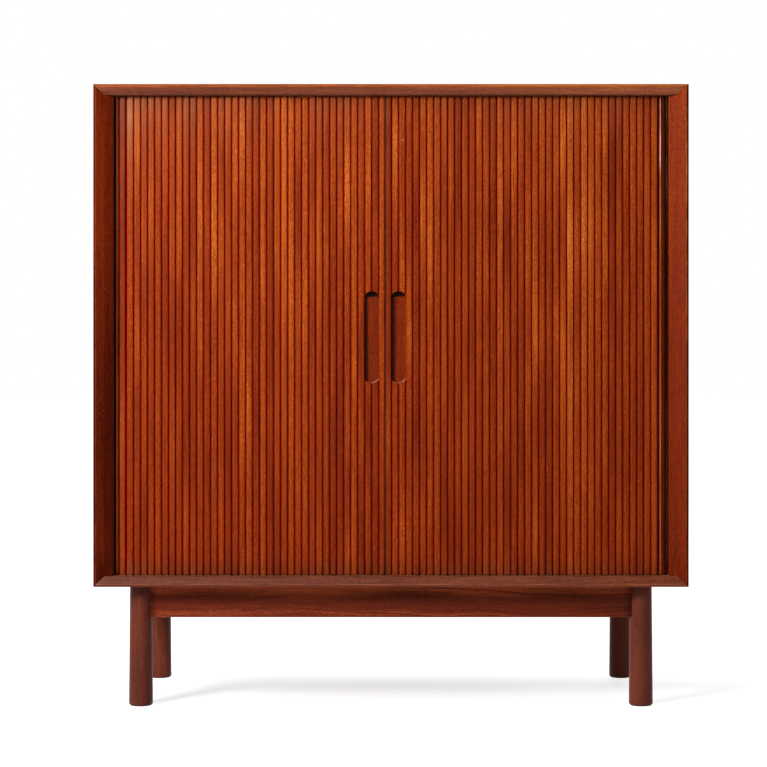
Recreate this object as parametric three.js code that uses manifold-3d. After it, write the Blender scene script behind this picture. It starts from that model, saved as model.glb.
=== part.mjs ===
// Tambour door cabinet: a teak case on a base of round legs, closed by two sliding tambour doors.
// Millimetres. +X is to the right, +Y to the back and +Z up. The origin is on the floor below the
// centre of the case. Each door is a rigid lead stile with a routed finger pull, and a curtain of
// slats on canvas that follows a track round the front corner into a pocket beside the interior.
import * as THREE from "three";
import { mergeVertices } from "three/addons/utils/BufferGeometryUtils.js";
import Module from "manifold-3d";

const wasm = await Module();
wasm.setup();

// Case
const caseWidth = 1160;
const caseDepth = 460;
const caseHeight = 980;
const legHeight = 238; // floor to the underside of the case
const panelThickness = 20;
const jointGap = 0.2; // glue line or seat between two pieces that touch
const overrun = 5; // how far a cutting solid reaches past what it cuts

// Front edging: solid strips mitred at the corners, bevelled back towards the doors
const edgingDepth = 20;
const edgingFlat = 5; // flat front left beside each bevel
const bevelDepth = 9; // how far the bevel of the top and bottom runs back; the posts have the same slope
const postWidth = 37; // upright edging, seen from the front

// Back
const backThickness = 8;
const backLap = 10; // how far the back panel laps over each panel in its rebate

// Slats and canvas of the two curtains
const slatPitch = 13.72;
const slatFace = 10.54; // width of a slat's raised face
const slatThickness = 7.5;
const slatBaseThickness = 3; // wide base that closes the groove between two faces
const slatBaseGap = 0.4; // between the bases of two slats
const slatRound = 1.2; // radius of a face's long edges
const canvasThickness = 0.8;
const doorSetback = 23; // case front to slat faces
const meetingOffset = -11.2; // the doors meet a little left of the middle
const meetingGap = 1;
const tailLength = 50; // curtain left round the front corner when the door is shut

// Track routed in the top and bottom panels
const cornerRadius = 20; // bend of the canvas at each corner
const tongueThickness = 4.5;
const tongueInset = 1.5; // canvas line to the tongue
const tongueSideInset = 1; // slat face's edge to the tongue's edge
const trackDepth = 8.5;
const trackPlay = 1; // each side of the tongue
const trackArcSteps = 8;
const pocketClearance = 13; // side panel to the slat faces in the pocket
const backClearance = 2; // back panel to the slat faces behind the false back
const backRun = 130; // track behind the false back
const shoulderGap = 1.5; // door to the top and bottom panels
const tongueFootGap = 0.4; // tongue to the floor of the bottom track
const tongueHeadGap = 2; // tongue to the roof of the top track

// Lead stile
const stileSlats = 4;
const stileThickness = 16;
const canvasLap = 9; // canvas glued into the stile's rear rebate
const pullSkippedSlats = 1; // slats between the door's edge and the finger pull
const pullSlats = 2;
const pullLength = 180;
const pullDrop = 3; // middle of the pull below the middle of the door
const pullDepth = 10;
const pullArchRise = 11;
const pullArchSteps = 8;
const roundSteps = 2;

// Interior
const linerThickness = 12;
const linerClearance = 3.5; // canvas in the pocket to the liner
const dividerThickness = 18;
const dividerClearance = 4; // back of the stiles to the divider
const falseBackThickness = 10;
const housingDepth = 4; // liners, divider and false back let into the panels
const shelfThickness = 16;
const shelfSetback = 5; // divider's front to the shelf's front
const shelfSideGap = 1;
const shelfRearGap = 3; // shelf to the false back
const shelfHeightShares = [1 / 3, 2 / 3]; // of the height inside
const edgeRound = 3;
const pinDiameter = 6;
const pinLength = 16;
const pinBite = 8; // length of a shelf pin inside its hole
const pinPlay = 0.3;
const pinChamfer = 0.8;
const pinInset = 45; // shelf's front or back edge to a pin
const pinHolePitch = 32;
const pinHoleSteps = [-1, 0, 1]; // holes above and below the one in use
const pinSides = 8;

// Base
const legTopDiameter = 43;
const legFootDiameter = 47;
const legFootRound = 1.5;
const legSideInset = 87; // case's side to the leg's axis
const legFrontInset = 52; // case's front or back to the leg's axis
const legSides = 28;
const glideSides = 16;
const railHeight = 64;
const railThickness = 22;
const tenonThickness = 10;
const tenonHeight = 40;
const tenonStop = 8; // leg's axis to the tenon's end
const tenonRoot = 12; // length of tenon inside the rail
const blockSize = 60;
const blockHeight = 42;
const screwInset = 20; // inner corner of the rails to the screw
const screwDiameter = 4;
const screwPlay = 0.3;
const screwHeadDiameter = 8.5;
const screwHeadHeight = 3;
const screwTip = 4;
const screwBite = 12; // screw inside the bottom panel
const counterboreDiameter = 11;
const counterboreDepth = 14;
const screwSides = 8;
const glideDiameter = 42;
const glideHeight = 2;
const glideChamfer = 0.6;
const glideStemDiameter = 5;
const glideStemLength = 12;
const glidePlay = 0.3;

// Levels and planes that several pieces share
const halfWidth = caseWidth / 2;
const frontY = -caseDepth / 2;
const rearY = caseDepth / 2;
const caseTop = legHeight + caseHeight;
const roofZ = caseTop - panelThickness;
const floorZ = legHeight + panelThickness;
const innerX = halfWidth - panelThickness;
const edgingBackY = frontY + edgingDepth;
const backFaceY = rearY - backThickness;
const canvasY = frontY + doorSetback + slatThickness;
const bendX = innerX - pocketClearance - slatThickness - cornerRadius;
const frontBendY = canvasY + cornerRadius;
const rearBendY = backFaceY - backClearance - slatThickness - cornerRadius;
const linerX = bendX + cornerRadius - canvasThickness - linerClearance;
const linerInnerX = linerX - linerThickness;
const falseBackY = rearBendY - falseBackThickness;
const dividerFrontY = canvasY - slatThickness + stileThickness + dividerClearance;
const shelfFrontY = dividerFrontY + shelfSetback;
const doorBottom = floorZ + shoulderGap;
const doorTop = roofZ - shoulderGap;
const tongueBottom = floorZ - trackDepth + tongueFootGap;
const tongueTop = roofZ + trackDepth - tongueHeadGap;
const legX = halfWidth - legSideInset;
const legY = -frontY - legFrontInset;
const legFootZ = glideHeight + jointGap;
const legTopZ = legHeight - jointGap;
const railBottom = legTopZ - railHeight;

// Turns a closed three.js geometry into a solid for joining and cutting.
function solidOf(geometry) {
  const bare = geometry.clone();
  bare.deleteAttribute("normal");
  bare.deleteAttribute("uv");
  const merged = mergeVertices(bare);
  const mesh = new wasm.Mesh({
    numProp: 3,
    vertProperties: merged.attributes.position.array,
    triVerts: new Uint32Array(merged.index.array),
  });
  return new wasm.Manifold(mesh);
}

// Turns a solid back into a flat-shaded geometry.
function geometryOf(solid) {
  const mesh = solid.getMesh();
  const shared = new THREE.BufferGeometry();
  shared.setAttribute("position", new THREE.BufferAttribute(new Float32Array(mesh.vertProperties), 3));
  shared.setIndex(new THREE.BufferAttribute(new Uint32Array(mesh.triVerts), 1));
  const faceted = shared.toNonIndexed();
  faceted.computeVertexNormals();
  return faceted;
}

function extrude(outline, from, to) {
  const shape = new THREE.Shape(outline.map(([x, y]) => new THREE.Vector2(x, y)));
  const geometry = new THREE.ExtrudeGeometry(shape, { depth: to - from, bevelEnabled: false });
  geometry.translate(0, 0, from);
  return geometry;
}

// A plan outline in X and Y, extruded up from z0 to z1.
function extrudeUp(outline, z0, z1) {
  return solidOf(extrude(outline, z0, z1));
}

// A section in Y and Z, extruded to the right from x0 to x1.
function extrudeRight(outline, x0, x1) {
  const turn = new THREE.Matrix4().makeBasis(
    new THREE.Vector3(0, 1, 0),
    new THREE.Vector3(0, 0, 1),
    new THREE.Vector3(1, 0, 0),
  );
  return solidOf(extrude(outline, x0, x1).applyMatrix4(turn));
}

// A front view in X and Z, extruded to the back from y0 to y1.
function extrudeBack(outline, y0, y1) {
  const turn = new THREE.Matrix4().makeBasis(
    new THREE.Vector3(1, 0, 0),
    new THREE.Vector3(0, 0, 1),
    new THREE.Vector3(0, -1, 0),
  );
  return solidOf(extrude(outline, -y1, -y0).applyMatrix4(turn));
}

// A block between two corners.
function block([x0, y0, z0], [x1, y1, z1]) {
  return extrudeUp([[x0, y0], [x1, y0], [x1, y1], [x0, y1]], z0, z1);
}

// A profile of [radius, height] points turned round the Z axis.
function turned(profile, sides) {
  const points = profile.map(([radius, height]) => new THREE.Vector2(radius, height));
  return solidOf(new THREE.LatheGeometry(points, sides).rotateX(Math.PI / 2));
}

// Points on an arc, from angle a0 to angle a1 in radians.
function arc(cx, cy, radius, a0, a1, steps) {
  return Array.from({ length: steps + 1 }, (_, i) => {
    const angle = a0 + ((a1 - a0) * i) / steps;
    return [cx + radius * Math.cos(angle), cy + radius * Math.sin(angle)];
  });
}

const mirrorX = ([x, y]) => [-x, y];

function union(solids) {
  return solids.reduce((whole, next) => whole.add(next));
}

function cut(solid, tools) {
  return tools.reduce((rest, tool) => rest.subtract(tool), solid);
}

// Colour and finish of each kind of surface
const finishes = {
  slats: { color: 0x9a4019, roughness: 0.48, metalness: 0 },
  edging: { color: 0x7a2c14, roughness: 0.45, metalness: 0 },
  horizontals: { color: 0x8a4630, roughness: 0.45, metalness: 0 },
  panels: { color: 0x7c3a1e, roughness: 0.5, metalness: 0 },
  base: { color: 0x6e3325, roughness: 0.5, metalness: 0 },
  interior: { color: 0x9a6a42, roughness: 0.6, metalness: 0 },
  backing: { color: 0x8a6846, roughness: 0.75, metalness: 0 },
  brass: { color: 0xb08d4e, roughness: 0.35, metalness: 1 },
  steel: { color: 0x9a9a98, roughness: 0.35, metalness: 1 },
  nylon: { color: 0x1d1a18, roughness: 0.6, metalness: 0 },
};

// Adds one sub-part to a group, with a material of its own.
function add(group, name, solid, finish, place = [0, 0, 0]) {
  const mesh = new THREE.Mesh(geometryOf(solid), new THREE.MeshStandardMaterial(finishes[finish]));
  mesh.name = name;
  mesh.position.set(...place);
  group.add(mesh);
  return mesh;
}

// The canvas line of a door
// It starts at the door's lead edge and runs outwards along the front, round the front corner, back
// through the side pocket, round the rear corner and behind the false back. Built for the right
// side, and mirrored for the left. Each point carries the heading there.
function canvasPoint(leadX, length) {
  const front = bendX - leadX;
  const bend = (cornerRadius * Math.PI) / 2;
  const side = rearBendY - frontBendY;
  if (length < front) {
    return { x: leadX + length, y: canvasY, heading: 0 };
  }
  if (length < front + bend) {
    const heading = (length - front) / cornerRadius;
    const x = bendX + cornerRadius * Math.sin(heading);
    return { x, y: frontBendY - cornerRadius * Math.cos(heading), heading };
  }
  const back = length - front - bend;
  return { x: bendX + cornerRadius, y: frontBendY + Math.min(back, side), heading: Math.PI / 2 };
}

// Moves [along, outward] coordinates of a slat to the plan, at a point of the canvas line.
function onCanvas({ x, y, heading }, outline) {
  const cos = Math.cos(heading);
  const sin = Math.sin(heading);
  return outline.map(([along, out]) => [x + along * cos + out * sin, y + along * sin - out * cos]);
}

// The rounded face of a slat, from its near groove floor round to its far one.
function slatRidge(start) {
  const near = arc(start + slatRound, slatThickness - slatRound, slatRound, Math.PI, Math.PI / 2, roundSteps);
  const farX = start + slatFace - slatRound;
  const far = arc(farX, slatThickness - slatRound, slatRound, Math.PI / 2, 0, roundSteps);
  return [[start, slatBaseThickness], ...near, ...far, [start + slatFace, slatBaseThickness]];
}

// Front of a loose slat about its own centre line: a wide base with a narrower rounded face.
function slatFront() {
  const half = (slatPitch - slatBaseGap) / 2;
  const near = [[-half, 0], [-half, slatBaseThickness]];
  return [...near, ...slatRidge(-slatFace / 2), [half, slatBaseThickness], [half, 0]];
}

// Section of the tongue that runs in the track, for a stretch of door from start to end.
function tongueOutline(start, end) {
  const tip = tongueInset + tongueThickness;
  return [[start, tongueInset], [end, tongueInset], [end, tip], [start, tip]];
}

// Rear face of the canvas behind one slat, from its far edge to its near one.
function canvasBehind() {
  const half = (slatPitch - slatBaseGap) / 2;
  return [[half, -canvasThickness], [-half, -canvasThickness]];
}

// Number of slats from a door's lead edge to the tail of its curtain, those of the stile included.
function slatCount(leadX) {
  return Math.floor((bendX - leadX + tailLength) / slatPitch);
}

// Curtain: every loose slat, with its tongues, glued to one strip of canvas.
function curtain(leadX, mirrored) {
  const flip = (outline) => (mirrored ? outline.map(mirrorX) : outline);
  const lapStart = stileSlats * slatPitch - (slatPitch - slatFace) - canvasLap + jointGap;
  const count = slatCount(leadX);
  const places = [];
  for (let i = stileSlats; i < count; i += 1) {
    places.push(canvasPoint(leadX, i * slatPitch + slatFace / 2));
  }
  const fronts = places.flatMap((place) => onCanvas(place, slatFront()));
  const rears = places.reverse().flatMap((place) => onCanvas(place, canvasBehind()));
  const lap = onCanvas(canvasPoint(leadX, lapStart), [[0, -canvasThickness], [0, 0]]);
  const body = extrudeUp(flip([...fronts, ...rears, ...lap]), doorBottom, doorTop);
  const halfTongue = slatFace / 2 - tongueSideInset;
  const tongues = places.map((place) =>
    extrudeUp(flip(onCanvas(place, tongueOutline(-halfTongue, halfTongue))), tongueBottom, tongueTop),
  );
  return union([body, ...tongues]);
}

// Plan of a lead stile: milled ridges in step with the slats, a lip that reaches to the base of the
// first slat, and a rebate behind for the canvas.
function stileOutline() {
  const width = stileSlats * slatPitch - (slatPitch - slatFace);
  const lip = (slatPitch - slatFace - slatBaseGap) / 2;
  const back = slatThickness - stileThickness;
  const ridges = Array.from({ length: stileSlats }, (_, i) => slatRidge(i * slatPitch)).flat();
  return [
    [0, back],
    ...ridges.slice(1),
    [width + lip, slatBaseThickness],
    [width + lip, jointGap],
    [width - canvasLap, jointGap],
    [width - canvasLap, back],
  ];
}

// Outline of the finger pull, an upright slot with arched ends, in X and Z.
function pullOutline(centreX) {
  const halfSlot = ((pullSlats + 1) * slatPitch - slatFace) / 2;
  const radius = (halfSlot ** 2 + pullArchRise ** 2) / (2 * pullArchRise);
  const swing = Math.asin(halfSlot / radius);
  const middle = (doorTop + doorBottom) / 2 - pullDrop;
  const upright = Math.PI / 2;
  const reach = pullLength / 2 - radius;
  const top = arc(centreX, middle + reach, radius, upright + swing, upright - swing, pullArchSteps);
  const foot = arc(centreX, middle - reach, radius, swing - upright, -upright - swing, pullArchSteps);
  return [...top, ...foot];
}

// Lead stile: the rigid front of a door, with its tongues and its routed finger pull.
function leadStile(leadX, mirrored) {
  const flip = (outline) => (mirrored ? outline.map(mirrorX) : outline);
  const origin = { x: leadX, y: canvasY, heading: 0 };
  const width = stileSlats * slatPitch - (slatPitch - slatFace);
  const body = extrudeUp(flip(onCanvas(origin, stileOutline())), doorBottom, doorTop);
  const tongue = tongueOutline(tongueSideInset, width - tongueSideInset);
  const rail = extrudeUp(flip(onCanvas(origin, tongue)), tongueBottom, tongueTop);
  const pullStart = pullSkippedSlats * slatPitch - (slatPitch - slatFace);
  const pullEnd = (pullSkippedSlats + pullSlats) * slatPitch;
  const slot = pullOutline(leadX + (pullStart + pullEnd) / 2);
  const slatFaceY = canvasY - slatThickness;
  const pull = extrudeBack(flip(slot), slatFaceY - overrun, slatFaceY + pullDepth);
  return body.add(rail).subtract(pull);
}

// One wall of the track, at an offset outwards from the canvas line, from the end of the left back
// run round to the end of the right one.
function trackWall(offset) {
  const radius = cornerRadius + offset;
  const right = [
    ...arc(bendX, frontBendY, radius, -Math.PI / 2, 0, trackArcSteps),
    ...arc(bendX, rearBendY, radius, 0, Math.PI / 2, trackArcSteps),
    [bendX - backRun, rearBendY + radius],
  ];
  return [...right.map(mirrorX).reverse(), ...right];
}

// Track for both doors, cut into a panel between two levels.
function track(z0, z1) {
  const inner = trackWall(tongueInset - trackPlay);
  const outer = trackWall(tongueInset + tongueThickness + trackPlay);
  return extrudeUp([...outer, ...inner.reverse()], z0, z1);
}

// Shallow housings for the standing boards, cut into a panel between two levels: one E-shaped
// outline, because the divider and the liners butt against the false back.
function housings(z0, z1) {
  const near = linerInnerX - jointGap;
  const far = linerX + jointGap;
  const half = dividerThickness / 2 + jointGap;
  const linerFrontY = frontBendY - jointGap;
  const frontWallY = falseBackY - jointGap;
  const right = [
    [half, dividerFrontY - jointGap],
    [half, frontWallY],
    [near, frontWallY],
    [near, linerFrontY],
    [far, linerFrontY],
    [far, rearBendY + jointGap],
  ];
  return extrudeUp([...right, ...right.map(mirrorX).reverse()], z0, z1);
}

// Plan of a board with a rounded front edge.
function roundedBoard(x0, x1, y0, y1) {
  const left = arc(x0 + edgeRound, y0 + edgeRound, edgeRound, Math.PI, 1.5 * Math.PI, roundSteps);
  const right = arc(x1 - edgeRound, y0 + edgeRound, edgeRound, -Math.PI / 2, 0, roundSteps);
  return [...left, ...right, [x1, y1], [x0, y1]];
}

// Board on the inside of one pocket, which the canvas passes behind.
function liner(sign) {
  const near = sign > 0 ? linerInnerX : -linerX;
  const plan = roundedBoard(near, near + linerThickness, frontBendY, rearBendY);
  return standingBoard(plan, pinHoles(sign * linerInnerX, -sign));
}

// Board between the liners that hides the back run of the curtains.
function falseBack() {
  const x = linerInnerX - jointGap;
  return standingBoard([[-x, falseBackY], [x, falseBackY], [x, rearBendY], [-x, rearBendY]], []);
}

function divider() {
  const half = dividerThickness / 2;
  const plan = roundedBoard(-half, half, dividerFrontY, falseBackY - jointGap);
  return standingBoard(plan, [...pinHoles(-half, -1), ...pinHoles(half, 1)]);
}

// Rebate along the back of the top or bottom panel, between two levels, that takes the back panel.
function levelRebate(z0, z1) {
  const x = halfWidth + overrun;
  return block([-x, backFaceY, z0], [x, rearY + overrun, z1]);
}

// Rebates up the backs of both side panels.
function sideRebate() {
  const x = innerX + backLap;
  return block([-x, backFaceY, legHeight - overrun], [x, rearY + overrun, caseTop + overrun]);
}

// Pilot holes for the base's screws, in the underside of the bottom panel.
function pilotHoles() {
  const radius = screwDiameter / 2 + screwPlay;
  const depth = screwBite + screwPlay;
  return corners.map(([sx, sy]) => {
    const hole = turned([[0, 0], [radius, 0], [radius, depth + overrun], [0, depth + overrun]], screwSides);
    return hole.translate([sx * screwX, sy * screwY, legHeight - overrun]);
  });
}

function topPanel() {
  const front = [[-halfWidth, caseTop], [-innerX, roofZ], [innerX, roofZ], [halfWidth, caseTop]];
  const board = extrudeBack(front, edgingBackY + jointGap, rearY);
  const low = roofZ - overrun;
  const grooves = [track(low, roofZ + trackDepth), housings(low, roofZ + housingDepth)];
  return cut(board, [levelRebate(low, roofZ + backLap), ...grooves]);
}

function bottomPanel() {
  const front = [[-halfWidth, legHeight], [halfWidth, legHeight], [innerX, floorZ], [-innerX, floorZ]];
  const board = extrudeBack(front, edgingBackY + jointGap, rearY);
  const high = floorZ + overrun;
  const grooves = [track(floorZ - trackDepth, high), housings(floorZ - housingDepth, high)];
  return cut(board, [levelRebate(floorZ - backLap, high), ...grooves, ...pilotHoles()]);
}

// Side panel, mitred to the top and bottom panels. The sign is -1 for the left and 1 for the right.
function sidePanel(sign) {
  const front = [
    [sign * halfWidth, legHeight + jointGap],
    [sign * halfWidth, caseTop - jointGap],
    [sign * innerX, roofZ - jointGap],
    [sign * innerX, floorZ + jointGap],
  ];
  const board = extrudeBack(front, edgingBackY + jointGap, rearY);
  return cut(board, [sideRebate()]);
}

// Level edging of the top or bottom panel: its bevel runs back towards the doors. The outer level is
// the outside of the case and the sense is 1 where the doors are above it.
function levelEdging(outer, sense) {
  const inner = outer + sense * panelThickness;
  const section = [
    [frontY, outer],
    [frontY, outer + sense * edgingFlat],
    [frontY + bevelDepth, inner],
    [edgingBackY, inner],
    [edgingBackY, outer],
  ];
  const strip = extrudeRight(section, -halfWidth, halfWidth);
  const mitres = [-1, 1].map((sign) => {
    const waste = [
      [sign * (innerX - overrun), inner + sense * overrun],
      [sign * (halfWidth + overrun), outer - sense * overrun],
      [sign * (halfWidth + overrun), inner + sense * overrun],
    ];
    return extrudeBack(waste, frontY - overrun, edgingBackY + overrun);
  });
  return cut(strip, mitres);
}

// Upright edging: wider than the side panel, so that it hides the mouth of the pocket.
function post(sign) {
  const bevel = bevelDepth * (postWidth - edgingFlat) / (panelThickness - edgingFlat);
  const section = [
    [sign * halfWidth, frontY],
    [sign * (halfWidth - edgingFlat), frontY],
    [sign * (halfWidth - postWidth), frontY + bevel],
    [sign * (halfWidth - postWidth), edgingBackY],
    [sign * halfWidth, edgingBackY],
  ];
  const upright = extrudeUp(section, legHeight, caseTop);
  const ends = [[caseTop, -1], [legHeight, 1]].map(([outer, sense]) => {
    const seam = outer + sense * jointGap;
    const inner = seam + sense * panelThickness;
    const past = seam - sense * overrun;
    const far = halfWidth - postWidth - overrun;
    const slope = [[sign * (halfWidth + overrun), past], [sign * innerX, inner]];
    const waste = [...slope, [sign * far, inner], [sign * far, past]];
    return extrudeBack(waste, frontY - overrun, edgingBackY + overrun);
  });
  return cut(upright, ends);
}

function backPanel() {
  const x = innerX + backLap - jointGap;
  const low = floorZ - backLap + jointGap;
  const high = roofZ + backLap - jointGap;
  return block([-x, backFaceY + jointGap, low], [x, rearY, high]);
}

// A bay is the space on one side of the divider. Its shelves hang on four pins each.
const bays = [
  { name: "left", sign: -1 },
  { name: "right", sign: 1 },
];
const levels = ["lower", "upper"];
const bayInnerX = dividerThickness / 2;
const shelfRearY = falseBackY - shelfRearGap;
const pinRadius = pinDiameter / 2;

function shelfUnderside(level) {
  return floorZ + shelfHeightShares[level] * (roofZ - floorZ) - shelfThickness / 2;
}

function pinPlaces() {
  const rows = [shelfFrontY + pinInset, shelfRearY - pinInset];
  return levels.flatMap((_, level) =>
    rows.map((y) => ({ level, y, z: shelfUnderside(level) - jointGap - pinRadius })),
  );
}

// Blind holes for the shelf pins in one face of a board. The sense is the way out of the hole.
function pinHoles(faceX, sense) {
  const radius = pinRadius + pinPlay;
  const profile = [[0, -pinBite - pinPlay], [radius, -pinBite - pinPlay], [radius, overrun], [0, overrun]];
  return pinPlaces().flatMap(({ y, z }) =>
    pinHoleSteps.map((step) => {
      const hole = turned(profile, pinSides).rotate([0, sense * 90, 0]);
      return hole.translate([faceX, y, z + step * pinHolePitch]);
    }),
  );
}

// Board that stands in its housings in the bottom and the top panel.
function standingBoard(outline, holes) {
  const low = floorZ - housingDepth + jointGap;
  const high = roofZ + housingDepth - jointGap;
  return cut(extrudeUp(outline, low, high), holes);
}

function shelf(bay) {
  const inner = bayInnerX + shelfSideGap;
  const outer = linerInnerX - shelfSideGap;
  const half = shelfThickness / 2;
  const centreY = shelfFrontY + edgeRound;
  const section = [
    ...arc(centreY, edgeRound - half, edgeRound, 1.5 * Math.PI, Math.PI, roundSteps),
    ...arc(centreY, half - edgeRound, edgeRound, Math.PI, Math.PI / 2, roundSteps),
    [shelfRearY, half],
    [shelfRearY, -half],
  ];
  const ends = bay.sign > 0 ? [inner, outer] : [-outer, -inner];
  return extrudeRight(section, ...ends);
}

// Shelf pin along +X, with its chamfered ends, from its seat in the hole outwards.
function shelfPin() {
  const profile = [
    [0, 0],
    [pinRadius - pinChamfer, 0],
    [pinRadius, pinChamfer],
    [pinRadius, pinLength - pinChamfer],
    [pinRadius - pinChamfer, pinLength],
    [0, pinLength],
  ];
  return turned(profile, pinSides).rotate([0, 90, 0]).translate([-pinBite, 0, 0]);
}

// Leg turned with a slight taper, widest at the foot, with a socket for the glide's stem.
function legProfile(clearance) {
  const foot = legFootDiameter / 2 + clearance;
  const round = arc(foot - legFootRound, legFootZ + legFootRound, legFootRound, -Math.PI / 2, 0, roundSteps);
  return [...round, [legTopDiameter / 2 + clearance, legTopZ]];
}

function leg(mortises) {
  const socket = glideStemDiameter / 2 + glidePlay;
  const roof = glideHeight + glideStemLength + glidePlay;
  const profile = [[0, roof], [socket, roof], [socket, legFootZ], ...legProfile(0), [0, legTopZ]];
  return cut(turned(profile, legSides), mortises);
}

// Solid a little larger than a leg, at the origin, that copes whatever meets the leg.
function legCutter() {
  const outline = legProfile(jointGap);
  const top = outline[outline.length - 1];
  return turned([[0, legFootZ], ...outline, [top[0], legTopZ + overrun], [0, legTopZ + overrun]], legSides);
}

// The four corners of the base, by the signs of X and Y.
const corners = [[-1, -1], [1, -1], [-1, 1], [1, 1]];
const cornerNames = ["front_left", "front_right", "rear_left", "rear_right"];
const railInnerX = legX - railThickness / 2;
const railInnerY = legY - railThickness / 2;
const screwX = railInnerX - jointGap - screwInset;
const screwY = railInnerY - jointGap - screwInset;
const tenonLow = railBottom + (railHeight - tenonHeight) / 2;

// Stub tenon along the X axis, on the near side of a leg at the origin. A clearance makes the mortise.
function tenonBlock(clearance) {
  const half = tenonThickness / 2 + clearance;
  const reach = legTopDiameter / 2 + tenonRoot;
  const low = [-reach, -half, tenonLow - clearance];
  return block(low, [clearance - tenonStop, half, tenonLow + tenonHeight + clearance]);
}

// Mortises of the leg at one corner: one for the long rail and one for the short rail.
function mortises([sx, sy]) {
  const long = tenonBlock(jointGap).rotate([0, 0, sx > 0 ? 0 : 180]);
  const short = tenonBlock(jointGap).rotate([0, 0, sy * 90]);
  return [long, short];
}

// Rail along X between two leg axes at the given half length, coped and tenoned into both legs.
function rail(halfLength) {
  const half = railThickness / 2;
  const bar = block([-halfLength, -half, railBottom], [halfLength, half, legTopZ]);
  const coped = cut(bar, [-1, 1].map((sign) => legCutter().translate([sign * halfLength, 0, 0])));
  const tenons = [[1, 0], [-1, 180]].map(([sign, turn]) =>
    tenonBlock(0).rotate([0, 0, turn]).translate([sign * halfLength, 0, 0]),
  );
  return union([coped, ...tenons]);
}

// Triangular block in the corner of the rails, coped to the leg and counterbored for its screw.
function cornerBlock([sx, sy]) {
  const x = railInnerX - jointGap;
  const y = railInnerY - jointGap;
  const low = legTopZ - blockHeight;
  const plan = [[sx * x, sy * y], [sx * (x - blockSize), sy * y], [sx * x, sy * (y - blockSize)]];
  const shank = screwDiameter / 2 + screwPlay;
  const bore = counterboreDiameter / 2;
  const shoulder = low + counterboreDepth;
  const hole = [
    [0, low - overrun],
    [bore, low - overrun],
    [bore, shoulder],
    [shank, shoulder],
    [shank, legTopZ + overrun],
    [0, legTopZ + overrun],
  ];
  const way = turned(hole, screwSides).translate([sx * screwX, sy * screwY, 0]);
  const coping = legCutter().translate([sx * legX, sy * legY, 0]);
  return cut(extrudeUp(plan, low, legTopZ), [coping, way]);
}

// Wood screw standing on its head's bearing face, up through a corner block into the case.
function blockScrew() {
  const seat = legTopZ - blockHeight + counterboreDepth - jointGap;
  const tip = legHeight + screwBite;
  const shank = screwDiameter / 2;
  const head = screwHeadDiameter / 2;
  const profile = [
    [0, seat - screwHeadHeight],
    [shank, seat - screwHeadHeight],
    [head, seat - screwHeadHeight / 2],
    [head, seat],
    [shank, seat],
    [shank, tip - screwTip],
    [0, tip],
  ];
  return turned(profile, screwSides);
}

// Nylon glide under a leg, with a stem that plugs into the leg.
function glide() {
  const rim = glideDiameter / 2;
  const stem = glideStemDiameter / 2;
  const profile = [
    [0, 0],
    [rim - glideChamfer, 0],
    [rim, glideChamfer],
    [rim, glideHeight],
    [stem, glideHeight],
    [stem, glideHeight + glideStemLength],
    [0, glideHeight + glideStemLength],
  ];
  return turned(profile, glideSides);
}

function buildCase(group) {
  add(group, "top_panel", topPanel(), "panels");
  add(group, "bottom_panel", bottomPanel(), "panels");
  add(group, "left_side_panel", sidePanel(-1), "panels");
  add(group, "right_side_panel", sidePanel(1), "panels");
  add(group, "top_front_edging", levelEdging(caseTop, -1), "horizontals");
  add(group, "bottom_front_edging", levelEdging(legHeight, 1), "horizontals");
  add(group, "left_front_post", post(-1), "edging");
  add(group, "right_front_post", post(1), "edging");
  add(group, "back_panel", backPanel(), "backing");
}

function buildInterior(group) {
  add(group, "left_liner", liner(-1), "interior");
  add(group, "right_liner", liner(1), "interior");
  add(group, "false_back", falseBack(), "interior");
  add(group, "divider", divider(), "interior");
  for (const bay of bays) {
    levels.forEach((level, i) => {
      const place = [0, 0, shelfUnderside(i) + shelfThickness / 2];
      add(group, `${bay.name}_${level}_shelf`, shelf(bay), "interior", place);
    });
    addPins(group, bay);
  }
}

// Each pin sits in the hole in use, on the liner or on the divider.
function addPins(group, bay) {
  const walls = [
    { name: "outer", x: bay.sign * linerInnerX, turn: bay.sign > 0 ? Math.PI : 0 },
    { name: "inner", x: bay.sign * bayInnerX, turn: bay.sign > 0 ? 0 : Math.PI },
  ];
  pinPlaces().forEach(({ level, y, z }, i) => {
    const row = i % 2 ? "rear" : "front";
    for (const wall of walls) {
      const name = `${bay.name}_${levels[level]}_${wall.name}_${row}_pin`;
      const pin = add(group, name, shelfPin(), "brass", [wall.x, y, z]);
      pin.rotation.z = wall.turn;
    }
  });
}

function buildDoors(group) {
  const rightLead = meetingOffset + meetingGap / 2;
  const leftLead = meetingGap / 2 - meetingOffset;
  add(group, "left_lead_stile", leadStile(leftLead, true), "slats");
  add(group, "left_curtain", curtain(leftLead, true), "slats");
  add(group, "right_lead_stile", leadStile(rightLead, false), "slats");
  add(group, "right_curtain", curtain(rightLead, false), "slats");
}

function buildBase(group) {
  corners.forEach((corner, i) => {
    const place = [corner[0] * legX, corner[1] * legY, 0];
    add(group, `${cornerNames[i]}_leg`, leg(mortises(corner)), "base", place);
    add(group, `${cornerNames[i]}_glide`, glide(), "nylon", place);
    add(group, `${cornerNames[i]}_corner_block`, cornerBlock(corner), "base");
    const screwPlace = [corner[0] * screwX, corner[1] * screwY, 0];
    add(group, `${cornerNames[i]}_block_screw`, blockScrew(), "steel", screwPlace);
  });
  add(group, "front_rail", rail(legX), "base", [0, -legY, 0]);
  add(group, "rear_rail", rail(legX), "base", [0, legY, 0]);
  for (const bay of bays) {
    const sideRail = add(group, `${bay.name}_rail`, rail(legY), "base", [bay.sign * legX, 0, 0]);
    sideRail.rotation.z = Math.PI / 2;
  }
}

const cabinet = new THREE.Group();
buildCase(cabinet);
buildInterior(cabinet);
buildDoors(cabinet);
buildBase(cabinet);

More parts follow.
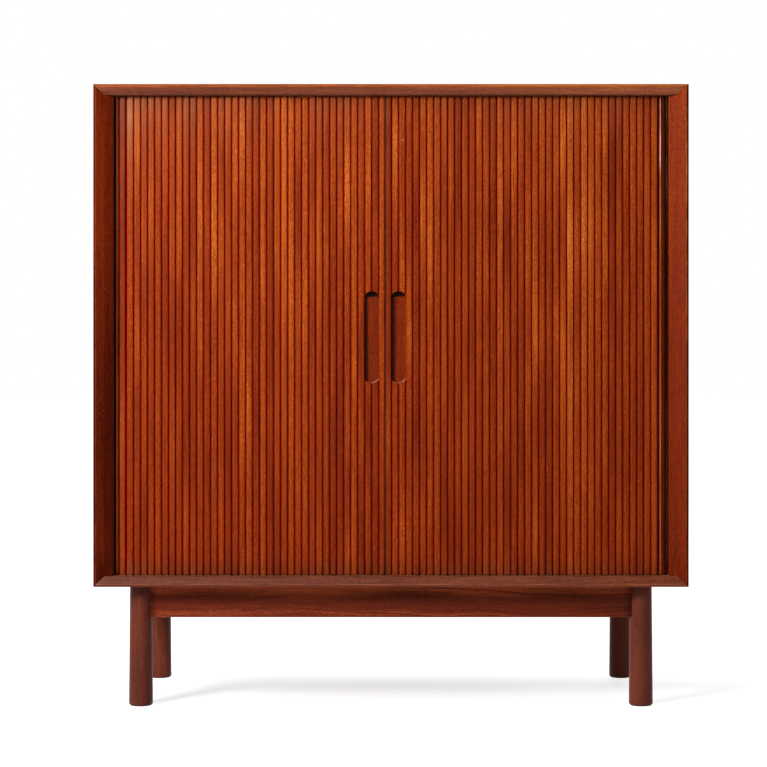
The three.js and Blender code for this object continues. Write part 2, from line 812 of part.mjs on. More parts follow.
export default cabinet;
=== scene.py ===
import math
import random

import bmesh
import bpy
from mathutils import Matrix, Vector, noise


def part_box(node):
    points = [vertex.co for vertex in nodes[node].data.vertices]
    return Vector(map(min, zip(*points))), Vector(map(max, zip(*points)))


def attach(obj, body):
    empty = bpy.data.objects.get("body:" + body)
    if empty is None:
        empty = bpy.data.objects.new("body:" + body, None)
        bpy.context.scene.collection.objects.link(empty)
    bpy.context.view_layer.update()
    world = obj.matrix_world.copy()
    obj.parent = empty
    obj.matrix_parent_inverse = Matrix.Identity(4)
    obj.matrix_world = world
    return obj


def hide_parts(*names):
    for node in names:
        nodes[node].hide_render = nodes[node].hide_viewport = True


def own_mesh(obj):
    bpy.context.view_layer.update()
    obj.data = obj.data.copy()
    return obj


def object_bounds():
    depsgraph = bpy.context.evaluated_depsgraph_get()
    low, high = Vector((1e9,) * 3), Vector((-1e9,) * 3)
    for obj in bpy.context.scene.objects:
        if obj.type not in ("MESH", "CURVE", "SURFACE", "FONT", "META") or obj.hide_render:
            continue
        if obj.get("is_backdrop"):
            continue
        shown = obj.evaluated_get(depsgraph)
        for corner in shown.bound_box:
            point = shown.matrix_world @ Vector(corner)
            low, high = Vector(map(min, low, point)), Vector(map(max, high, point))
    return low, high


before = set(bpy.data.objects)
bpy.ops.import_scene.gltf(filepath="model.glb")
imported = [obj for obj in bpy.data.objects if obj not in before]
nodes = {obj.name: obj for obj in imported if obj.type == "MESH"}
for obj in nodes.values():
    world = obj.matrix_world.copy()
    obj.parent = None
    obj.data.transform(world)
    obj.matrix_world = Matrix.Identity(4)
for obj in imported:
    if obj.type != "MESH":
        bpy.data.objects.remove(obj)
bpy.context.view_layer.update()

# Tambour door cabinet: the dressed model round the CAD frame. Metres. The doors face -Y.
# The visible pieces stand where the CAD nodes are, with rounded edges, grain and wear. The screws of
# the back panel are added.

scene = bpy.context.scene


def add_object(name, data):
    obj = bpy.data.objects.new(name, data)
    scene.collection.objects.link(obj)
    return obj


# Camera: square on to the front, level, with the photograph's horizon set by the shift

IMAGE_WIDTH = 767  # pixels
CAMERA_PLACE = (-0.0146, -4.262, 0.690)
FOCAL_SHARE = 2070 / IMAGE_WIDTH  # focal length over image width
HORIZON_SHIFT = -28.5 / IMAGE_WIDTH
SENSOR = 36.0

camera_data = bpy.data.cameras.new("camera")
camera_data.sensor_width = SENSOR
camera_data.lens = SENSOR * FOCAL_SHARE
camera_data.shift_y = HORIZON_SHIFT
camera = add_object("camera", camera_data)
camera.location = CAMERA_PLACE
camera.rotation_euler = (math.pi / 2, 0, 0)
scene.camera = camera

# Sizes of the doors, repeated from the CAD source

SLAT_PITCH = 0.01372
SLAT_FACE = 0.01054
SLAT_THICK = 0.0075
SLAT_BASE = 0.003  # thickness at the groove's floor
BASE_GAP = 0.0004
CANVAS_THICK = 0.0008
CANVAS_Y = -0.1995
CORNER_R = 0.020
BEND_X = 0.5195
FRONT_BEND_Y = CANVAS_Y + CORNER_R
TAIL = 0.050
STILE_SLATS = 4
STILE_THICK = 0.016
CANVAS_LAP = 0.009
MEET = -0.0112
MEET_GAP = 0.001
DOOR_LOW = 0.2595
DOOR_HIGH = 1.1965
TONGUE_LOW = 0.2499
TONGUE_HIGH = 1.2045
TONGUE_IN = 0.0015
TONGUE_THICK = 0.0045
TONGUE_SIDE = 0.001
PULL_RISE = 0.011
PULL_LENGTH = 0.180
PULL_DROP = 0.003
PULL_DEPTH = 0.010
SEAT_GAP = 0.0002

GROOVE = SLAT_PITCH - SLAT_FACE
GROOVE_Y = CANVAS_Y - SLAT_BASE
FACE_Y = CANVAS_Y - SLAT_THICK
BASE_HALF = (SLAT_PITCH - BASE_GAP) / 2
LIP = (GROOVE - BASE_GAP) / 2  # base beyond a slat's face
STILE_WIDTH = STILE_SLATS * SLAT_PITCH - GROOVE
PULL_START = SLAT_FACE
PULL_END = 3 * SLAT_PITCH
PULL_HALF = (PULL_END - PULL_START) / 2
PULL_RADIUS = (PULL_HALF ** 2 + PULL_RISE ** 2) / (2 * PULL_RISE)
PULL_MIDDLE_Z = (DOOR_LOW + DOOR_HIGH) / 2 - PULL_DROP
PULL_TOP = PULL_MIDDLE_Z + PULL_LENGTH / 2
PULL_FOOT = PULL_MIDDLE_Z - PULL_LENGTH / 2
PULL_FLOOR_Y = FACE_Y + PULL_DEPTH
HALF_PI = math.pi / 2

# Materials


def linear(rgb):
    """An sRGB colour from 0 to 255 as linear RGBA."""
    values = []
    for c in rgb:
        c /= 255
        values.append(c / 12.92 if c <= 0.04045 else ((c + 0.055) / 1.055) ** 2.4)
    return (*values, 1.0)


class Tree:
    """Makes the nodes of a material or of the world."""

    def __init__(self, owner):
        self.owner = owner
        owner.use_nodes = True
        self.graph = owner.node_tree
        self.graph.nodes.clear()

    def node(self, kind, inputs=None, **settings):
        """A node, with each input linked to a socket or set to a value."""
        made = self.graph.nodes.new("ShaderNode" + kind)
        for key, value in settings.items():
            setattr(made, key, value)
        for key, value in (inputs or {}).items():
            if isinstance(value, bpy.types.NodeSocket):
                self.graph.links.new(value, made.inputs[key])
            else:
                made.inputs[key].default_value = value
        return made

    def attribute(self, name, output="Fac"):
        return self.node("Attribute", attribute_name=name).outputs[output]

    def place(self, output):
        return self.node("TexCoord").outputs[output]

    def math(self, operation, a, b=0.0, clamp=False):
        return self.node("Math", {0: a, 1: b}, operation=operation, use_clamp=clamp).outputs[0]

    def vector(self, operation, a, b):
        return self.node("VectorMath", {0: a, 1: b}, operation=operation).outputs[0]

    def length(self, vector):
        return self.node("VectorMath", {0: vector}, operation="LENGTH").outputs["Value"]

    def noise(self, vector, detail=2.0, roughness=0.5, scale=1.0, output="Fac"):
        inputs = {"Vector": vector, "Scale": scale, "Detail": detail, "Roughness": roughness}
        return self.node("TexNoise", inputs).outputs[output]

    def speckle(self, vector, scales, detail=2.0, roughness=0.5):
        """Noise that repeats about so many times over a metre along X, Y and Z."""
        return self.noise(self.vector("MULTIPLY", vector, scales), detail, roughness)

    def span(self, value, low, high, to_low=0.0, to_high=1.0):
        inputs = {0: value, 1: low, 2: high, 3: to_low, 4: to_high}
        return self.node("MapRange", inputs, clamp=True).outputs[0]

    def ramp(self, value, stops):
        made = self.node("ValToRGB", {0: value})
        points = made.color_ramp.elements
        while len(points) < len(stops):
            points.new(0.5)
        for point, (place, colour) in zip(points, stops):
            point.position = place
            point.color = linear(colour)
        return made.outputs[0]

    def mix(self, factor, a, b):
        return self.node("Mix", {0: factor, 6: a, 7: b}, data_type="RGBA").outputs[2]

    def bump(self, height, strength, distance):
        inputs = {"Height": height, "Strength": strength, "Distance": distance}
        return self.node("Bump", inputs).outputs[0]

    def finish(self, colour, roughness, normal, specular=0.5, metallic=0.0):
        """Ends a material in its shader."""
        shader = self.node("BsdfPrincipled", {"Base Color": colour, "Roughness": roughness, "Normal": normal,
                                              "Specular IOR Level": specular, "Metallic": metallic})
        self.node("OutputMaterial", {"Surface": shader.outputs[0]})
        return self.owner


# How often each pattern of the wood repeats over a metre, across the grain twice and along it
WANDER = (5, 5, 2.2)
STREAK = (240, 240, 5)
FLECK = (230, 230, 24)
GRIT_ACROSS = 460.0
PORE = (1500, 1500, 48)
CAST = (330, 330, 90)
BREAKUP = (90, 90, 14)
CHIP = (420, 420, 300)

RING_BEND = 0.07  # how far the growth rings wander, in metres
RINGS_ALONG = 0.5
PORE_DEPTH = 0.16  # how much darker a pore is
GRAIN_BUMP, GRAIN_HEIGHT = 0.25, 0.0004
CHIP_SHARE = 0.6
# The dark colour for grime and for painted shade.
GRIME_AND_SHADE_COLOUR = (26, 7, 3)


def wood(name, colours, places=(0.0, 0.5, 1.0), rings=0.3, streaks=0.35, flecks=0.35, grits=0.9,
         grit_run=62.0, ring_scale=110.0, specular=0.06, rough=(0.38, 0.6), paleness=(190, 104, 62),
         dust_and_sheen=(186, 92, 60), veil=0.0, veins=0.0):
    """Oiled wood. Attributes: grain (a vector, Z along the grain), tone, wear with painted highlights (pale),
    grime with painted shade (dark), and a pale haze of painted sheen and dust.
    """
    tree = Tree(bpy.data.materials.new(name))
    grain = tree.attribute("grain", "Vector")
    wander = tree.noise(tree.vector("MULTIPLY", grain, WANDER), output="Color")
    shift = tree.vector("SUBTRACT", wander, (0.5, 0.5, 0.5))
    bent = tree.vector("ADD", tree.vector("MULTIPLY", shift, (RING_BEND, RING_BEND, 0.0)), grain)
    radius = tree.length(tree.vector("MULTIPLY", bent, (1.0, 1.0, 0.0)))
    along = tree.node("SeparateXYZ", {0: grain}).outputs["Z"]
    across, run = tree.math("MULTIPLY", radius, ring_scale), tree.math("MULTIPLY", along, RINGS_ALONG)
    place = tree.node("CombineXYZ", {0: across, 2: run}).outputs[0]
    ring = tree.noise(place, 3.0, 0.62)
    streak = tree.speckle(grain, STREAK, 5.0, 0.62)
    fleck = tree.speckle(grain, FLECK, 3.0, 0.6)
    grit = tree.speckle(grain, (GRIT_ACROSS, GRIT_ACROSS, grit_run), 3.0, 0.7)
    pore = tree.span(tree.speckle(grain, PORE, 1.0), 0.6, 0.72)

    vein = tree.math("ABSOLUTE", tree.math("SUBTRACT", tree.noise(place, 1.0, scale=0.7), 0.5))
    value = tree.math("SUBTRACT", tree.attribute("tone"), tree.span(vein, 0.0, 0.03, veins, 0.0))
    for part, amount in ((ring, rings * 2), (streak, streaks * 1.5), (fleck, flecks * 1.5), (grit, grits)):
        value = tree.math("ADD", value, tree.math("MULTIPLY", tree.math("SUBTRACT", part, 0.5), amount))
    value = tree.math("SUBTRACT", value, tree.math("MULTIPLY", pore, PORE_DEPTH), clamp=True)
    colour = tree.ramp(value, list(zip(places, colours)))

    # Pale haze: painted sheen, and dust at the slats' foot, with a faint random veil of it.
    haze = tree.math("MULTIPLY", tree.attribute("dust_and_sheen"), tree.span(fleck, 0.3, 0.7, 0.6, 1.0))
    haze = tree.math("ADD", haze, tree.span(tree.speckle(grain, CAST), 0.45, 0.75, 0.0, veil), clamp=True)
    colour = tree.mix(haze, colour, linear(dust_and_sheen))
    # Paler where painted so: wear, and painted highlights on some arrises, rims and flanks.
    breakup = tree.speckle(grain, BREAKUP, 3.0, 0.7)
    wear_and_highlight = tree.math("MULTIPLY", tree.attribute("wear_and_highlight"), tree.span(breakup, 0.36, 0.62), clamp=True)
    colour = tree.mix(wear_and_highlight, colour, linear(paleness))
    # Darker where painted so: grime, and painted shade in gaps, recesses and under overhangs.
    darkening = tree.math("MULTIPLY", tree.attribute("grime_and_shade"), tree.span(breakup, 0.25, 0.6, 1.0, 0.55), clamp=True)
    colour = tree.mix(darkening, colour, linear(GRIME_AND_SHADE_COLOUR))
    chip = tree.span(tree.speckle(grain, CHIP, 1.0), 0.78, 0.82, 0.0, CHIP_SHARE)
    colour = tree.mix(chip, colour, linear(paleness))

    gloss = tree.span(tree.math("ADD", streak, tree.math("MULTIPLY", fleck, 0.5)), 0.45, 1.05, *rough)
    height = tree.math("SUBTRACT", tree.math("MULTIPLY", streak, 0.6), pore)
    return tree.finish(colour, gloss, tree.bump(height, GRAIN_BUMP, GRAIN_HEIGHT), specular)


def metal(name, base, stain, rough):
    """Turned metal with a stain of age."""
    tree = Tree(bpy.data.materials.new(name))
    place = tree.place("Object")
    tarnish = tree.noise(place, 4.0, 0.65, scale=160.0)
    turned = tree.speckle(place, (900, 900, 9000))
    colour = tree.mix(tree.span(tarnish, 0.42, 0.72), linear(base), linear(stain))
    normal = tree.bump(turned, strength=0.15, distance=0.0001)
    return tree.finish(colour, tree.span(tarnish, 0.3, 0.7, *rough), normal, metallic=1.0)


def nylon():
    """Black nylon with floor dust on it."""
    tree = Tree(bpy.data.materials.new("nylon_glide"))
    dust = tree.noise(tree.place("Object"), 4.0, 0.7, scale=420.0)
    colour = tree.ramp(dust, ((0.3, (22, 20, 19)), (0.62, (38, 34, 31)), (0.85, (92, 82, 72))))
    normal = tree.bump(dust, strength=0.3, distance=0.0003)
    return tree.finish(colour, tree.span(dust, 0.3, 0.7, 0.45, 0.8), normal, specular=0.3)


def canvas_cloth():
    """Brown canvas: threads along X and Z of the grain, with thick places."""
    tree = Tree(bpy.data.materials.new("canvas"))
    grain = tree.attribute("grain", "Vector")
    warp, weft = [
        tree.node("TexWave", {"Vector": grain, "Scale": threads, "Distortion": 0.6, "Detail": 1.0},
                  wave_type="BANDS", bands_direction=direction).outputs["Fac"]
        for threads, direction in ((210.0, "X"), (190.0, "Z"))]
    weave = tree.math("MAXIMUM", warp, weft)
    slub = tree.speckle(grain, (400, 400, 40), 3.0)
    value = tree.math("ADD", tree.math("MULTIPLY", weave, 0.6), tree.math("MULTIPLY", slub, 0.4))
    colour = tree.ramp(value, ((0.2, (52, 34, 20)), (0.6, (96, 70, 46)), (0.95, (132, 104, 74))))
    normal = tree.bump(weave, strength=0.6, distance=0.0004)
    return tree.finish(colour, tree.span(value, 0.2, 0.9, 0.95, 0.8), normal, specular=0.1)


slat_wood = wood("slat_teak", ((92, 20, 0), (124, 36, 2), (150, 53, 5), (182, 84, 20), (222, 130, 50)),
                 places=(0.0, 0.28, 0.5, 0.74, 1.0), rings=0.1, streaks=0.4, flecks=0.12, grits=1.25,
                 grit_run=300.0, rough=(0.4, 0.6), dust_and_sheen=(168, 98, 62), paleness=(240, 200, 176), veil=0.1)
# Groove floors: a redder, brighter teak that stands in for the light bounced between the slats' flanks:
# painted light.
groove_bounce_wood = wood("groove_teak_bounce", ((150, 8, 0), (190, 26, 1), (225, 50, 8)),
                   rings=0.1, streaks=0.3, rough=(0.6, 0.8), specular=0.03)
post_wood = wood("post_teak", ((70, 16, 4), (128, 41, 10), (182, 76, 20)),
                 rings=0.14, streaks=0.26, flecks=0.25, grits=0.95, grit_run=190.0, specular=0.03)
# The top edging's front flat: the edging teak brighter and more orange, a lit copy of it: painted light.
strip_wood = wood("strip_teak", ((92, 34, 8), (150, 66, 16), (210, 112, 38)),
                  rings=0.16, streaks=0.3, flecks=0.5)
# Pinker and greyer than the other teak: partly a painted reflection of the pale surroundings on the bevels.
edging_wood = wood("edging_teak", ((84, 32, 16), (140, 70, 40), (192, 112, 66)),
                   rings=0.2, streaks=0.4, flecks=0.3, grits=1.1, grit_run=200.0, specular=0.22, veins=0.12)
panel_wood = wood("panel_teak", ((82, 28, 8), (138, 58, 22), (184, 96, 46)),
                  rings=0.4, streaks=0.2, specular=0.25)
base_wood = wood("base_teak", ((46, 12, 5), (106, 39, 20), (196, 92, 52)),
                 rings=0.36, streaks=0.2, flecks=0.2, grits=0.6, grit_run=120.0, veins=0.3)
leg_wood = wood("leg_teak", ((62, 22, 12), (112, 51, 33), (154, 82, 50)),
                rings=0.1, streaks=0.24, flecks=0.22, grits=0.8, grit_run=160.0, specular=0.12)
inner_wood = wood("interior_veneer", ((120, 72, 40), (164, 112, 70), (200, 152, 104)),
                  rings=0.36, streaks=0.22, ring_scale=90.0, specular=0.2, rough=(0.5, 0.72),
                  paleness=(214, 176, 132))
back_wood = wood("back_veneer", ((112, 78, 50), (152, 116, 78), (184, 150, 108)),
                 rings=0.4, streaks=0.26, ring_scale=80.0, specular=0.2, rough=(0.6, 0.85),
                 paleness=(202, 172, 132))
brass = metal("brass_pin", (198, 160, 92), (138, 100, 50), (0.24, 0.42))
steel = metal("steel_screw", (176, 176, 172), (112, 108, 102), (0.28, 0.5))
plastic = nylon()
cloth = canvas_cloth()

# Mesh helpers

AXES = {"X": (1, 2, 0), "Y": (0, 2, 1), "Z": (0, 1, 2)}  # the order in which the grain takes X, Y and Z
TURNS = {"Z": Matrix(), "X": Matrix.Rotation(HALF_PI, 4, "Y"), "-X": Matrix.Rotation(-HALF_PI, 4, "Y"),
         "Y": Matrix.Rotation(-HALF_PI, 4, "X")}  # these turn Z to the axis of a turned piece
WELD = 3e-6
FLAT_DEGREES = 0.4
OUTER_DEGREES = 20
BOARD_DEGREES, TURNED_DEGREES, SLAT_DEGREES = 30, 35, 40  # edges over these stay sharp
SPOT_SIDE, SPOT_DEPTH, SPOT_RUN = 0.05, 0.03, 4  # how far about the tree a piece's grain may be from
FACING = 0.9  # a normal's share along an axis that a face looks along


def near(distance, reach):
    """1 at no distance, falling evenly to 0 at the reach."""
    return max(0.0, 1 - distance / reach)


def beyond(value, start, end):
    """0 up to the start, then rising evenly through 1 at the end."""
    return max(0.0, (value - start) / (end - start))


def between(start, end, share):
    return start + (end - start) * share


def by_height(points, z):
    """A value between those at the given heights, which rise."""
    for (low, value), (high, next_value) in zip(points, points[1:]):
        if z <= high:
            return between(value, next_value, beyond(z, low, high))
    return points[-1][1]


def at(value, co):
    """A value that may also be a function of the place."""
    return value(co) if callable(value) else value


def drift(co, scale, seed):
    """Smooth noise about 0, between about -1 and 1."""
    x, y, z = [place * spots for place, spots in zip(co, scale)]
    return noise.noise(Vector((x + seed * 7.3, y - seed * 3.1, z)))


def smooth(obj, degrees):
    obj.data.shade_smooth()
    obj.data.set_sharp_from_angle(angle=math.radians(degrees))


def from_bmesh(name, bm):
    """An object of a closed mesh, with its faces turned outwards."""
    bmesh.ops.recalc_face_normals(bm, faces=bm.faces)
    data = bpy.data.meshes.new(name)
    bm.to_mesh(data)
    bm.free()
    return add_object(name, data)


def paint(obj, name, value):
    """A number for each vertex, worked out from its place."""
    layer = obj.data.attributes.new(name, "FLOAT", "POINT")
    layer.data.foreach_set("value", [at(value, v.co) for v in obj.data.vertices])


def face_paint(obj, name, value):
    """A number for each corner of each face, worked out from the face and the corner's place."""
    mesh = obj.data
    layer = mesh.attributes.get(name) or mesh.attributes.new(name, "FLOAT", "CORNER")
    for face in mesh.polygons:
        for index in face.loop_indices:
            layer.data[index].value = value(face, mesh.vertices[mesh.loops[index].vertex_index].co)


def lay_grain(obj, axis, seed, depth=SPOT_DEPTH):
    """The grain vector: Z runs along the given axis, and the seed picks another spot of the tree."""
    dice = random.Random(seed)
    offset = (dice.uniform(-SPOT_SIDE, SPOT_SIDE), depth + dice.uniform(0, SPOT_DEPTH),
              dice.uniform(-SPOT_RUN, SPOT_RUN))
    layer = obj.data.attributes.new("grain", "FLOAT_VECTOR", "POINT")
    layer.data.foreach_set("vector", [v.co[place] + shift for v in obj.data.vertices
                                      for place, shift in zip(AXES[axis], offset)])


def dress(obj, slot_name, *materials, body="case"):
    """Gives a finished mesh its materials and body. Its slot name is not used."""
    for material in materials:
        obj.data.materials.append(material)
    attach(obj, body)


def rounded(node, name, width, shortest, segments, wear_and_highlight):
    """A copy of a CAD node with its long outer edges rounded, and a given paleness on the rounded arris:
    wear, and on the front edgings a painted highlight too.
    """
    bm = bmesh.new()
    bm.from_mesh(nodes[node].data)
    bmesh.ops.remove_doubles(bm, verts=bm.verts, dist=WELD)
    bmesh.ops.dissolve_limit(bm, angle_limit=math.radians(FLAT_DEGREES), verts=bm.verts, edges=bm.edges)
    layer = bm.loops.layers.float.new("wear_and_highlight")
    edges = [e for e in bm.edges if e.is_manifold and e.calc_length() > shortest
             and e.calc_face_angle_signed() > math.radians(OUTER_DEGREES)]
    made = bmesh.ops.bevel(bm, geom=edges, offset=width, offset_type="OFFSET", segments=segments,
                           profile=0.5, affect="EDGES", clamp_overlap=True)
    for face in made["faces"]:
        for loop in face.loops:
            loop[layer] = at(wear_and_highlight, loop.vert.co)
    obj = from_bmesh(name, bm)
    smooth(obj, BOARD_DEGREES)
    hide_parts(node)
    return obj


def sliced(obj, axis, places):
    """Cuts the mesh's faces along flat planes, so that painted values can change between them."""
    normal = [float(i == axis) for i in range(3)]
    bm = bmesh.new()
    bm.from_mesh(obj.data)
    for place in places:
        whole = bm.verts[:] + bm.edges[:] + bm.faces[:]
        point = [place * n for n in normal]
        bmesh.ops.bisect_plane(bm, geom=whole, dist=1e-6, plane_co=point, plane_no=normal)
    bm.to_mesh(obj.data)
    bm.free()
    smooth(obj, BOARD_DEGREES)


def skin(bm, rows, grooves=()):
    """Closes rows of corners into a solid. The sides that start at the grooves' corners are groove wood."""
    count = len(rows[0])
    for low, high in zip(rows, rows[1:]):
        for i in range(count):
            j = (i + 1) % count
            face = bm.faces.new((low[i], low[j], high[j], high[i]))
            face.material_index = int(i in grooves)
    bm.faces.new(rows[0])
    bm.faces.new(rows[-1])


def arc(cx, cy, radius, start, end, steps):
    angles = [between(start, end, i / steps) for i in range(steps + 1)]
    return [(cx + radius * math.cos(angle), cy + radius * math.sin(angle)) for angle in angles]


def lathe(name, profile, sides, place, axis="Z"):
    """A closed solid of revolution from [radius, height] points, its first and last on the axis."""
    bm = bmesh.new()
    angles = [2 * math.pi * i / sides for i in range(sides)]
    loops = []
    for radius, height in profile:
        ring = [(radius * math.cos(angle), radius * math.sin(angle), height) for angle in angles]
        loops.append([bm.verts.new(corner) for corner in (ring if radius else ring[:1])])
    for low, high in zip(loops, loops[1:]):
        for i in range(sides):
            j = (i + 1) % sides
            ring = [low[i % len(low)], low[j % len(low)], high[j % len(high)], high[i % len(high)]]
            bm.faces.new(list(dict.fromkeys(ring)))
    bmesh.ops.transform(bm, matrix=Matrix.Translation(place) @ TURNS[axis], verts=bm.verts)
    obj = from_bmesh(name, bm)
    smooth(obj, TURNED_DEGREES)
    return obj


def carve(obj, cutter):
    """Takes the cutter out of the object's mesh."""
    tool = obj.modifiers.new("cut", "BOOLEAN")
    tool.operation = "DIFFERENCE"
    tool.solver = "EXACT"
    tool.object = cutter
    bpy.context.view_layer.update()
    graph = bpy.context.evaluated_depsgraph_get()
    data = bpy.data.meshes.new_from_object(obj.evaluated_get(graph))
    obj.modifiers.clear()
    old = obj.data
    obj.data = data
    bpy.data.meshes.remove(old)
    bpy.data.objects.remove(cutter)


def cut_slot(screw, matrix, length, width, low, high):
    """A screwdriver slot. In the matrix's own axes it runs along X, and goes from low to high in Z."""
    x, y = length / 2, width / 2
    bm = bmesh.new()
    skin(bm, [[bm.verts.new(matrix @ Vector((a, b, z))) for a, b in ((-x, -y), (x, -y), (x, y), (-x, y))]
              for z in (low, high)])
    carve(screw, from_bmesh("cutter", bm))
    smooth(screw, TURNED_DEGREES)


# Shape of a slat

RIDGE_R = 0.0011
CROWN = 0.00018
CROWN_SHARES = (0.33, 0.67)
SLAT_STEPS = 26
SLAT_LEVELS = [between(DOOR_LOW, DOOR_HIGH, i / SLAT_STEPS) for i in range(SLAT_STEPS + 1)]
TONGUE_GAP = 1e-5
TONGUE_LEVELS = ((TONGUE_LOW, DOOR_LOW - TONGUE_GAP), (DOOR_HIGH + TONGUE_GAP, TONGUE_HIGH))


def canvas_point(lead, length):
    """Place and heading on the canvas line of the right door, that far from its lead edge."""
    front = BEND_X - lead
    bend = CORNER_R * HALF_PI
    if length < front:
        return lead + length, CANVAS_Y, 0.0
    if length < front + bend:
        heading = (length - front) / CORNER_R
        return BEND_X + CORNER_R * math.sin(heading), FRONT_BEND_Y - CORNER_R * math.cos(heading), heading
    return BEND_X + CORNER_R, FRONT_BEND_Y + length - front - bend, HALF_PI


def on_canvas(place, along, out):
    """X and Y of a point that lies so far along the canvas from a place on it, and so far out."""
    x, y, heading = place
    cos, sin = math.cos(heading), math.sin(heading)
    return x + along * cos + out * sin, y + along * sin - out * cos


def ridge(start):
    """The rounded, slightly crowned face of a slat, from its near groove floor to its far one."""
    near_arc = arc(start + RIDGE_R, SLAT_THICK - RIDGE_R, RIDGE_R, math.pi, HALF_PI, 4)
    far_arc = arc(start + SLAT_FACE - RIDGE_R, SLAT_THICK - RIDGE_R, RIDGE_R, HALF_PI, 0, 4)
    crown = [(start + SLAT_FACE * share, SLAT_THICK + CROWN) for share in CROWN_SHARES]
    return [(start, SLAT_BASE)] + near_arc + crown + far_arc + [(start + SLAT_FACE, SLAT_BASE)]


def tongue(start, end):
    """Outline of the thinner tongue that runs in a track."""
    return ((start, TONGUE_IN), (end, TONGUE_IN), (end, TONGUE_IN + TONGUE_THICK),
            (start, TONGUE_IN + TONGUE_THICK))


# Tones of the slats

SLAT_TONE = 0.46
# Lighter towards the heads and darker towards the foot: painted light.
HEAD_RISE = 0.095
TONE_SPREAD = 0.088
DARKEST, PALEST = -0.15, 0.18
LEAN = 0.09
WOBBLE = (0.07, 0.16)
WAVES, PHASES = 5.0, 100  # the waves over a slat's height, and where they start
FOOT_SPREAD, HEAD_SPREAD = 0.7, 0.5  # the slats differ more towards their heads
# Patches over both doors: middle in X, reach, tone, and how strong they are at a share of the height
PATCHES = ((-0.33, 0.07, 0.06, lambda share: min(1.0, 0.4 + share)),
           (0.35, 0.08, 0.09, lambda share: 1 - 0.55 * share),
           (0.18, 0.05, 0.08, lambda share: beyond(share, 0.4, 1.0)),
           (-0.03, 0.06, -0.05, lambda share: 1 - share))
RIGHT_RISE = 0.02
DARK_END, DARK_HEAD = (0.41, 0.51), (0.72, 1.0)  # X and share of the height over which it gets darker
END_DROP, HEAD_DROP = 0.05, 0.11
# Darker at the slats' foot: grime, and painted shade where they meet the bottom edging. Darker at their
# heads: painted shade under the top edging.
FOOT_GRIME_AND_SHADE, FOOT_REACH = 0.4, 0.007
HEAD_SHADE, HEAD_SHADE_REACH = 0.4, 0.006
LOW_GRIME, LOW_REACH, LOW_SPREAD = 0.1, 0.03, 0.05
# Painted sheen over the slats' heads and towards the left end, and pale dust at their foot.
HEAD_SHEEN, LEFT_SHEEN, FOOT_DUST = 0.45, 0.17, 0.12
SHEEN_Z, FOOT_DUST_REACH = 0.9, 0.03
LEFT_END, DOOR_END_X = (0.3, 0.55), 0.5
MIDDLE_SHEEN_SHARE, RIGHT_SHEEN_SHARE = 0.35, 0.5


def height_share(z):
    """0 at the foot of a door, 1 at its head."""
    return (z - DOOR_LOW) / (DOOR_HIGH - DOOR_LOW)


def slat_tone(seed):
    """How light one slat is along its height."""
    dice = random.Random(seed)
    base = max(DARKEST, min(PALEST, dice.gauss(0, TONE_SPREAD)))
    lean = dice.uniform(-LEAN, LEAN)
    wobble = dice.uniform(*WOBBLE)
    phase = dice.uniform(0, PHASES)

    def tone(z):
        share = height_share(z)
        rise = 2 * share - 1
        wave = noise.noise(Vector((phase, 0.0, share * WAVES)))
        spread = FOOT_SPREAD + HEAD_SPREAD * share
        return SLAT_TONE + HEAD_RISE * rise + spread * (base + lean * rise + wobble * wave * 2)

    return tone


def broad_tone(x, z):
    """Broad differences in tone over both doors, beside those from slat to slat."""
    share = height_share(z)
    tone = RIGHT_RISE * x / DOOR_END_X
    for middle, reach, amount, strength in PATCHES:
        tone += amount * math.exp(-((x - middle) / reach) ** 2) * strength(share)
    return tone - beyond(x, *DARK_END) * (END_DROP + HEAD_DROP * beyond(share, *DARK_HEAD))


def slat_grime_and_shade(x, z, seed):
    """Grime and painted shade at the foot of the slats, and a little painted shade at their heads."""
    reach = LOW_REACH + LOW_SPREAD * abs(noise.noise(Vector((x * 60, seed, 0.0))))
    return min(1.0, FOOT_GRIME_AND_SHADE * near(z - DOOR_LOW, FOOT_REACH) + LOW_GRIME * near(z - DOOR_LOW, reach)
               + HEAD_SHADE * near(DOOR_HIGH - z, HEAD_SHADE_REACH))


def slat_dust_and_sheen(x, z):
    """Pale haze: painted sheen over the heads of the slats, strongest at both ends, and pale dust at their
    foot.
    """
    share = beyond(z, SHEEN_Z, DOOR_HIGH)
    side = between(MIDDLE_SHEEN_SHARE, 1.0, min(1.0, abs(x) / DOOR_END_X))
    side *= 1.0 if x < 0 else RIGHT_SHEEN_SHARE
    return (HEAD_SHEEN * share ** 5 * side + LEFT_SHEEN * share ** 2 * beyond(-x, *LEFT_END)
            + FOOT_DUST * near(z - DOOR_LOW, FOOT_DUST_REACH))


# The turned slat beside each post, by height: a painted highlight on its near flank (haze, paleness and
# tone), and painted shade on the rest of it, on each side.
FLANKS = {
    -1: {"darkening": 0.2, "dust_and_sheen": ((0.25, 0.1), (0.6, 0.0), (0.85, 0.2), (0.98, 0.2), (1.2, 0.3)),
         "wear_and_highlight": ((0.25, 0.05), (0.5, 0.1), (0.9, 0.1), (1.0, 0.3), (1.2, 0.4)),
         "tone": ((0.25, 1.1), (0.6, 1.1), (0.8, 0.9), (1.0, 1.2), (1.2, 1.2))},
    1: {"darkening": 0.55, "dust_and_sheen": ((0.25, 0.4), (0.6, 0.2), (0.85, 0.3), (0.98, 0.6), (1.08, 1.0), (1.2, 0.9)),
        "wear_and_highlight": ((0.25, 0.2), (0.9, 0.0), (1.0, 0.3), (1.08, 1.0), (1.2, 0.7)),
        "tone": ((0.25, 0.7), (0.5, 0.6), (0.62, 0.42), (0.9, 0.44), (1.0, 0.6), (1.2, 0.6))}}
FLANK_WIDTH = 0.0006
TURNING, TURNED = 0.1, 0.5  # headings from which a slat has begun to turn, and has turned
TURNING_SHADE, TURNED_SHADE = 0.35, 0.9


